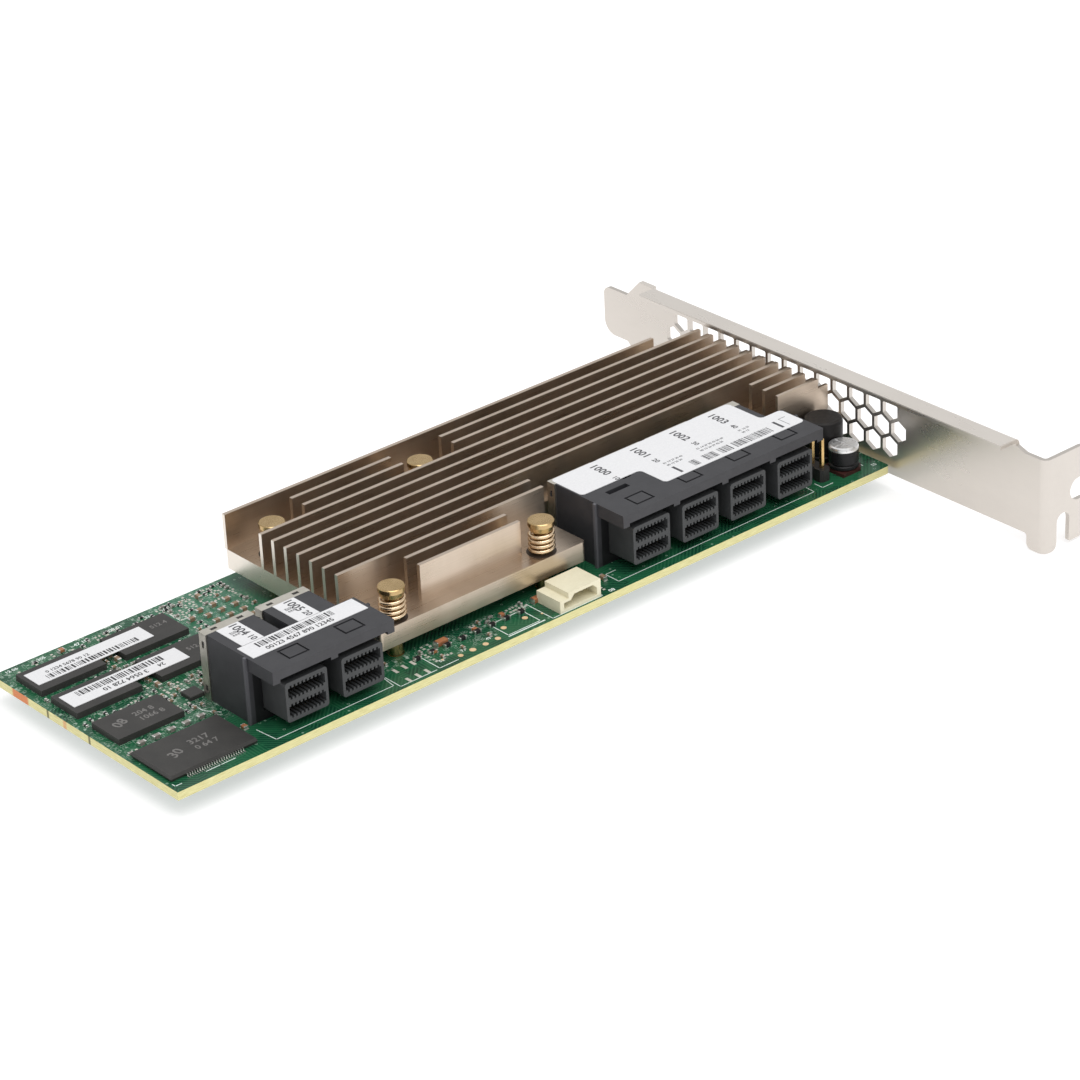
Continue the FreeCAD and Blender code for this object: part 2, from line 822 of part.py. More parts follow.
def make_port_housing(centre, count):
    """Moulded port housing: hood, side walls, rear bodies, latch rooms and hooks."""
    left, right = housing_span(centre, count)
    roof_under = port_height - roof_thickness
    parts = [
        box(left, right, hood_front_y, hood_back_y, roof_under, port_height),
        box(left, right, body_front_y, hood_back_y, 0, port_height),
    ]
    for index in range(count):
        body_left, body_right = rear_body_span(centre, count, index)
        parts.append(box(body_left, body_right, hood_back_y, body_back_y - shield_sheet,
                         0, port_height - shield_sheet))
        parts.append(box(body_left, body_right, hood_back_y, body_back_y - shield_rim,
                         0, port_height))
    tooth_low = port_height - tooth_drop
    tooth_places = [left] + [x + port_pitch / 2 - tooth_width / 2
                             for x in port_centres(centre, count)[:-1]] + [right - tooth_width]
    for x in tooth_places:
        parts.append(box(x, x + tooth_width, hood_front_y, hood_front_y + tooth_width,
                         tooth_low, port_height))
    for x in (left, right - skirt_thickness):
        parts.append(box(x, x + skirt_thickness, hood_front_y, body_front_y + 1,
                         tooth_low, port_height))
    for x in (left - corner_rib_stand, right - corner_rib_width):
        parts.append(box(x, x + corner_rib_width + corner_rib_stand, body_front_y,
                         body_front_y + corner_rib_width, 0, port_height))
    for x, y in peg_places(centre, count):
        parts.append(rod(x, y, -peg_length, 0.5, peg_radius))
    housing = join(parts)
    cuts = []
    for x in port_centres(centre, count):
        x = x + insert_shift
        half = insert_width / 2 + insert_clearance
        cuts.append(box(x - half, x + half, 0, insert_back_y + insert_clearance,
                        insert_bottom - insert_clearance,
                        insert_bottom + insert_height + insert_clearance))
        half_room = latch_room_width / 2
        slot_x = x + latch_slot_shift
        cuts.append(box(x - half_room, x + half_room, 0, body_front_y + latch_room_depth,
                        insert_bottom + insert_height, roof_under))
        half_slot = latch_slot_width / 2
        cuts.append(box(slot_x - half_slot, slot_x + half_slot, latch_slot_y,
                        latch_slot_y + latch_slot_depth, roof_under - 0.5, port_height + 1))
        cuts.append(make_pad_frame(x))
    return housing.cut(cuts)


def make_pad_frame(x):
    """Rectangular groove round the latch pad on the hood."""
    half = pad_frame_width / 2
    low = port_height - pad_frame_recess
    outer = box(x - half, x + half, pad_frame_y, pad_frame_y + pad_frame_depth, low, port_height + 1)
    g = pad_frame_groove
    inner = box(x - half + g, x + half - g, pad_frame_y + g, pad_frame_y + pad_frame_depth - g,
                low - 1, port_height + 2)
    return outer.cut(inner)


def comb_slot_corners(x, z):
    """Outline of one contact slot with comb grooves above and below."""
    half = insert_slot_width / 2
    half_height = insert_slot_height / 2
    first = x - (comb_count - 1) * comb_pitch / 2
    lower = [(x - half, z - half_height)]
    upper = []
    for index in range(comb_count):
        left = first + index * comb_pitch - comb_groove_width / 2
        right = left + comb_groove_width
        deep = half_height + comb_groove_depth
        lower += [(left, z - half_height), (left, z - deep), (right, z - deep),
                  (right, z - half_height)]
        upper += [(left, z + half_height), (left, z + deep), (right, z + deep),
                  (right, z + half_height)]
    lower.append((x + half, z - half_height))
    upper.append((x + half, z + half_height))
    return lower + upper[::-1] + [(x - half, z + half_height)]


def slot_levels():
    middle = insert_bottom + insert_height / 2
    return middle - insert_slot_offset, middle + insert_slot_offset


def make_port_inserts(centre, count):
    """One contact block per port, with two comb-edged slots in its front face."""
    solids = []
    for x in port_centres(centre, count):
        x = x + insert_shift
        half = insert_width / 2
        block = plate(
            [(x - half, insert_bottom, insert_corner_radius),
             (x + half, insert_bottom, insert_corner_radius),
             (x + half, insert_bottom + insert_height, insert_corner_radius),
             (x - half, insert_bottom + insert_height, insert_corner_radius)],
            flat_xz, insert_front_y, insert_back_y,
        )
        for z in slot_levels():
            block = block.cut(plate(comb_slot_corners(x, z), flat_xz, insert_front_y - 1,
                                    insert_front_y + insert_slot_depth))
        solids.append(block)
    return Part.makeCompound(solids)


def make_port_contacts(centre, count):
    """Contact blades lying in the comb grooves."""
    back = insert_front_y + insert_slot_depth
    front = back - port_contact_length
    floor = insert_slot_height / 2 + comb_groove_depth
    solids = []
    for x in port_centres(centre, count):
        first = x + insert_shift - (comb_count - 1) * comb_pitch / 2
        for z in slot_levels():
            for index in range(comb_count):
                left = first + index * comb_pitch - port_contact_width / 2
                for low in (z - floor, z + floor - port_contact_thickness):
                    solids.append(box(left, left + port_contact_width, front, back, low,
                                      low + port_contact_thickness))
    return Part.makeCompound(solids)


def make_port_shields(centre, count):
    """Thin metal cups round the back of each rear body, with small lock holes."""
    solids = []
    rim_front = body_back_y - shield_rim
    for index in range(count):
        left, right = rear_body_span(centre, count, index)
        cup = box(left - shield_sheet, right + shield_sheet, rim_front, body_back_y, 0, port_height)
        cup = cup.cut(box(left, right, rim_front - 1, body_back_y - shield_sheet, -1,
                          port_height - shield_sheet))
        middle_y = (rim_front + body_back_y) / 2
        half = shield_hole_length / 2
        cuts = []
        for x in (left + shield_hole_inset, right - shield_hole_inset):
            cuts.append(box(x - half, x + half, middle_y - shield_hole_width / 2,
                            middle_y + shield_hole_width / 2, port_height - 1, port_height + 1))
        for z in (shield_hole_inset, port_height - shield_hole_inset):
            cuts.append(box(left - 1, right + 1, middle_y - shield_hole_width / 2,
                            middle_y + shield_hole_width / 2, z - half, z + half))
        solids.append(cup.cut(cuts))
    return Part.makeCompound(solids)


def make_quad_label():
    left, right = housing_span(quad_centre_x, 4)
    left_step = left + quad_label_left_step
    right_step = right - quad_label_right_step
    left = left + quad_label_side_gap
    right = right - quad_label_side_gap
    r = quad_label_radius
    return plate(
        [
            (left, quad_label_back_y, r), (left, quad_label_step_back_y, r),
            (left_step, quad_label_step_back_y, r), (left_step, quad_label_front_y, r),
            (right, quad_label_front_y, r), (right, hood_back_y, r),
            (right_step, hood_back_y, r), (right_step, quad_label_back_y, r),
        ],
        flat_xy, port_height, port_height + label_thickness,
    )


def make_dual_label():
    left, right = housing_span(dual_centre_x, 2)
    return box(left + dual_label_end_gap, right - dual_label_end_gap, dual_label_near_y,
               dual_label_far_y, port_height, port_height + label_thickness)


def make_number_labels():
    solids = []
    for index in range(2):
        left = rear_body_span(dual_centre_x, 2, index)[0] + number_label_inset
        solids.append(box(left, left + number_label_width, dual_label_far_y + number_label_gap,
                          body_back_y - shield_rim - number_label_gap, port_height,
                          port_height + label_thickness))
    return Part.makeCompound(solids)


def make_header():
    """Cream side-entry header with a lower shoulder at one end and an arched mouth."""
    right = header_left + header_width
    inner_left = header_left + header_shoulder_width
    body = plate(
        [
            (header_left, 0), (right, 0), (right, header_height), (inner_left, header_height),
            (inner_left, header_shoulder_height), (header_left, header_shoulder_height),
        ],
        flat_xz, header_near, header_near + header_depth,
    )
    mouth_left = header_left + header_mouth_inset
    mouth_right = right - header_mouth_inset
    mouth_top = header_mouth_floor + header_mouth_height
    step_x = inner_left + header_wall
    step_z = header_shoulder_height - header_wall
    arch = header_arch_chamfer
    mouth = [
        (mouth_left, header_mouth_floor), (mouth_right, header_mouth_floor),
        (mouth_right, mouth_top - arch), (mouth_right - arch, mouth_top),
        (step_x + arch, mouth_top), (step_x, step_z), (mouth_left, step_z),
    ]
    inside = plate(mouth, flat_xz, header_near - 1, header_near + header_mouth_depth)
    return body.cut(inside)


def make_header_pins():
    """Bent header pins from the mouth to the pads behind the housing."""
    middle = header_left + header_width / 2
    first = middle - (header_pin_count - 1) * header_pin_pitch / 2
    far = header_near + header_depth
    z = header_mouth_floor + header_mouth_height / 2
    back = header_near + header_mouth_depth
    solids = []
    for index in range(header_pin_count):
        x = first + index * header_pin_pitch
        half = header_pin_size / 2
        front = back - header_pin_length / 2
        solids.append(box(x - half, x + half, front, back, z - half, z + half))
        solids.append(box(x - half, x + half, far, far + header_pin_foot, 0, header_pin_size))
    return Part.makeCompound(solids)


def jumper_pin_places():
    return [jumper_near + jumper_pitch * (index + 0.5) for index in range(2)]


def make_jumper_base():
    half = jumper_pitch / 2
    cells = []
    c = jumper_chamfer
    for y in jumper_pin_places():
        cells.append(plate(
            [(jumper_x - half, y - half + c), (jumper_x - half + c, y - half),
             (jumper_x + half - c, y - half), (jumper_x + half, y - half + c),
             (jumper_x + half, y + half - c), (jumper_x + half - c, y + half),
             (jumper_x - half + c, y + half), (jumper_x - half, y + half - c)],
            flat_xy, 0, jumper_base_height,
        ))
    size = jumper_pin_size / 2
    holes = [box(jumper_x - size, jumper_x + size, y - size, y + size, -1, jumper_base_height + 1)
             for y in jumper_pin_places()]
    return join(cells).cut(holes)


def make_jumper_pins():
    size = jumper_pin_size / 2
    bottom = -board_thickness - jumper_pin_below
    solids = []
    for y in jumper_pin_places():
        pin = box(jumper_x - size, jumper_x + size, y - size, y + size, bottom, jumper_pin_top)
        ends = [e for e in pin.Edges if abs(e.CenterOfMass.z - jumper_pin_top) < same_point]
        solids.append(pin.makeChamfer(jumper_pin_point, ends))
    return Part.makeCompound(solids)


def make_can_foot():
    """Square plastic foot of the can, with two cut corners."""
    half = can_foot_size / 2
    x, y = can_x, can_y
    cut = can_foot_corner
    return plate(
        [(x - half, y - half), (x + half - cut, y - half), (x + half, y - half + cut),
         (x + half, y + half - cut), (x + half - cut, y + half), (x - half, y + half)],
        flat_xy, 0, can_foot_height,
    )


def make_can():
    """Rolled metal can with a neck groove, a rounded shoulder and a crossed vent."""
    r = can_radius
    low = can_foot_height
    top = low + can_height - can_foot_height
    neck = low + can_neck_rise
    edge = can_edge_radius
    soft = edge * (1 - math.sqrt(0.5))
    can = revolve(can_x, can_y, [
        (0, low), (r - can_groove, low), (r, low + can_groove), (r, neck - can_groove),
        (r - can_groove, neck), (r, neck + can_groove), (r, top - edge),
        (r - soft, top - soft), (r - edge, top), (0, top),
    ])
    half = can_vent_width / 2
    reach = r - can_vent_margin
    floor = top - can_vent_depth
    cross = [
        box(can_x - reach, can_x + reach, can_y - half, can_y + half, floor, top + 1),
        box(can_x - half, can_x + half, can_y - reach, can_y + reach, floor, top + 1),
    ]
    return can.cut(cross)


def make_tall_capacitor():
    r = tall_radius
    seal = tall_seal_height
    groove = tall_groove_height
    soft = tall_edge_radius * (1 - math.sqrt(0.5))
    return revolve(tall_x, tall_y, [
        (0, 0), (r - tall_seal_step, 0), (r - tall_seal_step, seal), (r - soft, seal),
        (r, seal + soft), (r, groove), (r - tall_groove_depth, groove + tall_groove_depth),
        (r, groove + 2 * tall_groove_depth), (r, tall_height - tall_edge_radius),
        (r - soft, tall_height - soft),
        (r - tall_edge_radius, tall_height), (0, tall_height),
    ])


def chip_part(x, y, low=0.0):
    return box(x, x + chip_part_length, y, y + chip_part_depth, low, low + chip_part_height)


def make_edge_capacitors():
    """Ceramic capacitors in a row behind the flash chip and a row before the heat sink."""
    solids = [chip_part(capacitor_row_x + i * capacitor_row_step, capacitor_row_y)
              for i in range(capacitor_row_count)]
    solids += [chip_part(edge_row_x + i * edge_row_step, edge_row_y)
               for i in range(edge_row_count)]
    return Part.makeCompound(solids)


def make_field_resistors():
    solids = []
    for column in range(field_columns):
        for row in range(field_rows):
            solids.append(chip_part(field_x + column * field_step_x, field_y + row * field_step_y))
    return Part.makeCompound(solids)


def make_back_capacitors():
    """Capacitors on the solder side, under the processor."""
    low = -board_thickness - chip_part_height
    span = (back_capacitor_rows - 1) * back_capacitor_pitch
    x0 = processor_x - span / 2 - chip_part_length / 2
    y0 = processor_y - span / 2 - chip_part_depth / 2
    solids = []
    for i in range(back_capacitor_rows):
        for j in range(back_capacitor_rows):
            solids.append(chip_part(x0 + i * back_capacitor_pitch, y0 + j * back_capacitor_pitch, low))
    return Part.makeCompound(solids)


def make_block(x, y, length, depth, height):
    """Small moulded part: a box with its top edges broken."""
    block = box(x, x + length, y, y + depth, 0, height)
    tops = [e for e in block.Edges if abs(e.CenterOfMass.z - height) < same_point]
    return block.makeChamfer(height * block_edge_share, tops)


nodes = {
    "board": make_board(),
    "edge_contacts": make_edge_contacts(),
    "bracket": make_bracket(),
    "bracket_screws": make_bracket_screws(),
    "heat_sink": make_heat_sink(),
    "spring_pins": make_spring_pins(),
    "pin_springs": make_springs(),
    "raid_processor": make_package(processor_x, processor_y, processor_size),
    "processor_pad": make_pad(processor_x, processor_y, processor_size),
    "expander_chip": make_package(expander_x, expander_y, expander_size),
    "expander_pad": make_pad(expander_x, expander_y, expander_size),
    "flash_chip": make_flash_chip(),
    "flash_leads": make_flash_leads(),
    "memory_label_upper": make_memory_label(memory_row_y[0]),
    "memory_label_lower": make_memory_label(memory_row_y[1]),
    "quad_port_housing": make_port_housing(quad_centre_x, 4),
    "quad_port_inserts": make_port_inserts(quad_centre_x, 4),
    "quad_port_contacts": make_port_contacts(quad_centre_x, 4),
    "quad_port_shields": make_port_shields(quad_centre_x, 4),
    "quad_port_label": make_quad_label(),
    "dual_port_housing": make_port_housing(dual_centre_x, 2),
    "dual_port_inserts": make_port_inserts(dual_centre_x, 2),
    "dual_port_contacts": make_port_contacts(dual_centre_x, 2),
    "dual_port_shields": make_port_shields(dual_centre_x, 2),
    "dual_port_label": make_dual_label(),
    "port_number_labels": make_number_labels(),
    "fan_header": make_header(),
    "fan_header_pins": make_header_pins(),
    "jumper_base": make_jumper_base(),
    "jumper_pins": make_jumper_pins(),
    "can_capacitor": make_can(),
    "can_capacitor_foot": make_can_foot(),
    "tall_capacitor": make_tall_capacitor(),
    "edge_capacitors": make_edge_capacitors(),
    "field_resistors": make_field_resistors(),
    "back_capacitors": make_back_capacitors(),
    "monitor_chip": make_block(controller_chip_x, controller_chip_y, controller_chip_size,
                               controller_chip_size, controller_chip_height),
    "crystal": make_block(crystal_x, crystal_y, crystal_length, crystal_depth, crystal_height),
    "power_inductor": make_block(regulator_x, regulator_y, regulator_size, regulator_size,
                                 regulator_height),
}
memory_places = [(x, y) for y in memory_row_y[:2] for x in (memory_left_x, memory_right_x)]
memory_places.append((memory_left_x, memory_row_y[2]))
for number, (x, y) in enumerate(memory_places, start=1):
    nodes["memory_chip_%d" % number] = make_memory_chip(x, y)

os.makedirs("parts", exist_ok=True)
for name, shape in nodes.items():
    shape.exportStep("parts/%s.step" % name)
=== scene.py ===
"""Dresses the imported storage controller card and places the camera, lights and floor."""

import logging
import math
import random
from dataclasses import dataclass
from enum import Enum
from typing import Sequence

import bpy
from mathutils import Matrix, Vector


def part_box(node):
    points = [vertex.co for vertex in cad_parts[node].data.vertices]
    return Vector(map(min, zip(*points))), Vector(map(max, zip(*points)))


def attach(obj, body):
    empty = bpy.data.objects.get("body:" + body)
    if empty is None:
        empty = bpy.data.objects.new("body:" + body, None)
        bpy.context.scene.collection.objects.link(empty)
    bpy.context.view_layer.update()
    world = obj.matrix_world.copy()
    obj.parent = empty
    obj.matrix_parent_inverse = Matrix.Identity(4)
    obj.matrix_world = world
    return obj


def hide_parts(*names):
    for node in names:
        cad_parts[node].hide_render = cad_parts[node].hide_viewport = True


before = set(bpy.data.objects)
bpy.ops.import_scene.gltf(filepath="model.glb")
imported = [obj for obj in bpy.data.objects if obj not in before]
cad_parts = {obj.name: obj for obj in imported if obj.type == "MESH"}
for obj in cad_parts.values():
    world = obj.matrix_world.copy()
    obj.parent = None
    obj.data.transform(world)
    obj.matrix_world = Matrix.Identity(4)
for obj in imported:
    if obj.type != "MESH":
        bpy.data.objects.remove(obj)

Pair = tuple[float, float]
Triple = tuple[float, float, float]
Rows = tuple[tuple, ...]
Piece = bpy.types.Object
Material = bpy.types.Material

LOG = logging.getLogger("scene")
MM = 0.001
BODY = "root"
BOARD_THICKNESS = 1.57
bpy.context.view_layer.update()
# Where the four spring pins stand, in millimetres
PIN_CENTRES = tuple((x, y) for x in (54.9, 89.2) for y in (10.9, 44.85))


class Side(Enum):
    """Face of the board that a group of parts stands on."""

    TOP = 1
    BOTTOM = -1


class Sock:
    """A shader output that takes part in plain arithmetic."""

    def __init__(self, graph: "Graph", output: bpy.types.NodeSocket) -> None:
        self.graph = graph
        self.output = output

    def __add__(self, other: "Sock | float") -> "Sock":
        return self.graph.math("ADD", self, other)

    def __sub__(self, other: "Sock | float") -> "Sock":
        return self.graph.math("SUBTRACT", self, other)

    def __mul__(self, other: "Sock | float") -> "Sock":
        return self.graph.math("MULTIPLY", self, other)


class Graph:
    """Nodes of one material, or of the world, built round its shader.

    Args:
        name: name of the new material.
        owner: the world, where the nodes aren't a material's.
    """

    def __init__(self, name: str, owner: bpy.types.World | None = None,
                 shader: str = "BSDF_PRINCIPLED") -> None:
        self.owner = owner or bpy.data.materials.new(name)
        self.owner.use_nodes = True
        self.tree = self.owner.node_tree
        self.shader = next(n for n in self.tree.nodes if n.type == shader)

    def feed(self, socket: bpy.types.NodeSocket, value) -> None:
        """Connects a Sock, or sets a constant."""
        if isinstance(value, Sock):
            self.tree.links.new(value.output, socket)
        elif isinstance(value, (tuple, list)) and len(value) == 3 and socket.type == "RGBA":
            socket.default_value = (*value, 1.0)
        else:
            socket.default_value = value

    def node(self, kind: str, inputs: dict | None = None, **settings) -> bpy.types.Node:
        """Adds a node.

        Args:
            kind: Blender's type name of the node, without its ShaderNode.
            inputs: socket name or index to a constant or a Sock.
            **settings: attributes of the node.

        Returns:
            The new node.
        """
        made = self.tree.nodes.new("ShaderNode" + kind)
        for key, value in settings.items():
            setattr(made, key, value)
        for key, value in (inputs or {}).items():
            self.feed(made.inputs[key], value)
        return made

    def value(self, kind: str, inputs: dict | None = None, output: int | str = 0,
              **settings) -> Sock:
        """Adds a node, as node() does, and returns one of its outputs."""
        return Sock(self, self.node(kind, inputs, **settings).outputs[output])

    def math(self, operation: str, *values) -> Sock:
        """Math node on Socks or numbers."""
        return self.value("Math", dict(enumerate(values)), operation=operation)

    def coords(self) -> Sock:
        """Object coordinates in millimetres."""
        place = self.value("TexCoord", output="Object")
        return self.value("VectorMath", {0: place, "Scale": 1 / MM}, operation="SCALE")

    def axes(self, vector: Sock) -> tuple[Sock, Sock, Sock]:
        """The three parts of a vector."""
        return tuple(Sock(self, part) for part in self.node("SeparateXYZ", {0: vector}).outputs)

    def stretch(self, vector: Sock, scale: Triple, turn: float = 0.0) -> Sock:
        """A vector scaled along the axes and turned about Z, in radians."""
        return self.value("Mapping", {
            "Vector": vector, "Scale": scale, "Rotation": (0.0, 0.0, turn)})

    def noise(self, vector: Sock, scale: float = 1.0, detail: float = 3.0,
              roughness: float = 0.55) -> Sock:
        """Cloudy noise between 0 and 1."""
        return self.value("TexNoise", {
            "Vector": vector, "Scale": scale, "Detail": detail, "Roughness": roughness}, "Fac")

    def cells(self, vector: Sock, scale: float, spread: float, metric: str = "EUCLIDEAN",
              output: str = "Distance") -> Sock:
        """Distance to the nearest of scattered points, or the colour of its cell."""
        return self.value("TexVoronoi", {"Vector": vector, "Scale": scale, "Randomness": spread},
                          output, distance=metric)

    def ramp(self, value: Sock, low: float, high: float, out: Pair = (0.0, 1.0)) -> Sock:
        """Straight ramp from out[0] at low to out[1] at high, held outside."""
        return self.value("MapRange", {
            "Value": value, "From Min": low, "From Max": high, "To Min": out[0],
            "To Max": out[1]}, clamp=True)

    def window(self, value: Sock, low: float, high: float, soft: float = 0.02) -> Sock:
        """1 between low and high, with soft edges."""
        rise = self.ramp(value, low - soft, low + soft)
        return rise * self.ramp(value, high - soft, high + soft, (1.0, 0.0))

    def mix(self, factor, first, second) -> Sock:
        """Colour between first at factor 0 and second at factor 1."""
        return self.value("Mix", {0: factor, 6: first, 7: second}, 2, data_type="RGBA")

    def bump(self, height: Sock, strength: float, distance: float) -> Sock:
        """Normal of a fine relief."""
        return self.value("Bump", {"Height": height, "Strength": strength, "Distance": distance})

    def finish(self, **inputs) -> Material:
        """Feeds the shader.

        Args:
            **inputs: its sockets by name, with underscores for spaces.

        Returns:
            The material, or the world.
        """
        for key, value in inputs.items():
            self.feed(self.shader.inputs[key.replace("_", " ")], value)
        return self.owner


@dataclass(frozen=True)
class Finish:
    """Named material. Each kind says what its shader is fed with."""

    name: str

    def build(self) -> Material:
        """Makes the material."""
        g = Graph(self.name)
        return g.finish(**self.inputs(g, g.coords()))

    def inputs(self, g: Graph, p: Sock) -> dict:
        """Adds the nodes.

        Args:
            g: the material's nodes.
            p: object coordinates in millimetres.

        Returns:
            Values of the shader's sockets by name.
        """
        raise NotImplementedError


@dataclass(frozen=True)
class Moulded(Finish):
    """Plastic or resin with a fine grain and slight tone changes."""

    colour: Triple
    shade: Triple
    roughness: float = 0.5
    grain: float = 9.0
    grain_depth: float = 0.25
    shine: float = 0.4

    def inputs(self, g: Graph, p: Sock) -> dict:
        broad = g.noise(p, 0.35, 3.0)
        fine = g.noise(p, self.grain, 2.0)
        tone = g.ramp(broad * 0.6 + fine * 0.4, 0.3, 0.7)
        return dict(
            Base_Color=g.mix(tone, self.shade, self.colour),
            Roughness=g.ramp(fine, 0.25, 0.75, (self.roughness - 0.07, self.roughness + 0.07)),
            Specular_IOR_Level=self.shine, Normal=g.bump(fine, self.grain_depth, 0.02 * MM))


@dataclass(frozen=True)
class Housing(Moulded):
    """Moulded port housing with painted shade in the hollow round the contact blocks and a painted
    highlight on its corner rib.
    """

    colour: Triple = (0.046, 0.046, 0.051)
    shade: Triple = (0.032, 0.032, 0.036)
    roughness: float = 0.43
    grain: float = 6.0
    grain_depth: float = 0.2
    shine: float = 0.35
    left: float = 0.0
    right: float = 0.0
    # Painted shade: colour of the hollow round the contact blocks, and the bounds of that hollow
    cavity_shade: Triple = (0.007, 0.007, 0.008)
    front: float = 1.7
    back: float = 12.0
    roof: float = 11.05
    skirt: float = 0.85
    # Painted highlight: where the corner rib at the left end is lightened, and by what gain
    rib_front: float = 8.65
    rib_back: float = 9.4
    rib_outer: float = 0.55
    rib_inner: float = 0.05
    rib_highlight_gain: float = 2.4

    def inputs(self, g: Graph, p: Sock) -> dict:
        made = super().inputs(g, p)
        x, y, z = g.axes(p)
        # Painted shade: below the roof and between the side walls, the hollow round the contact
        # blocks takes the dark shade colour
        inside = (g.window(x, self.left + self.skirt, self.right - self.skirt)
                  * g.window(y, self.front, self.back)
                  * g.ramp(z, self.roof, self.roof + 0.05, (1.0, 0.0)))
        # Painted highlight: the corner rib at the left end is lightened to the plastic's colour
        # times the gain
        rib_highlight = (g.window(x, self.left - self.rib_outer, self.left - self.rib_inner, 0.1)
               * g.window(y, self.rib_front, self.rib_back, 0.1))
        colour = g.mix(rib_highlight, made["Base_Color"], tuple(c * self.rib_highlight_gain for c in self.colour))
        made["Base_Color"] = g.mix(inside, colour, self.cavity_shade)
        return made


@dataclass(frozen=True)
class Metal(Finish):
    """Plated or drawn metal with lines along one axis, duller above a height if one is given."""

    colour: Triple
    shade: Triple
    roughness: float = 0.25
    lines: Triple = (2.0, 2.0, 2.0)
    line_depth: float = 0.1
    stain: float = 0.6
    metallic: float = 1.0
    dull_above: float | None = None
    dull_metallic: float = 0.3

    def inputs(self, g: Graph, p: Sock) -> dict:
        drawn = g.noise(g.stretch(p, self.lines), 4.0, 4.0, 0.6)
        cloud = g.noise(p, self.stain, 4.0)
        tone = g.ramp(drawn * 0.35 + cloud * 0.65, 0.35, 0.65)
        metallic = self.metallic
        if self.dull_above is not None:
            metallic = g.ramp(g.axes(p)[2], self.dull_above - 0.2, self.dull_above,
                              (metallic, self.dull_metallic))
        return dict(
            Base_Color=g.mix(tone, self.shade, self.colour), Metallic=metallic,
            Roughness=g.ramp(drawn * 0.5 + cloud * 0.5, 0.3, 0.7,
                             (self.roughness - 0.06, self.roughness + 0.08)),
            Normal=g.bump(drawn, self.line_depth, 0.02 * MM))


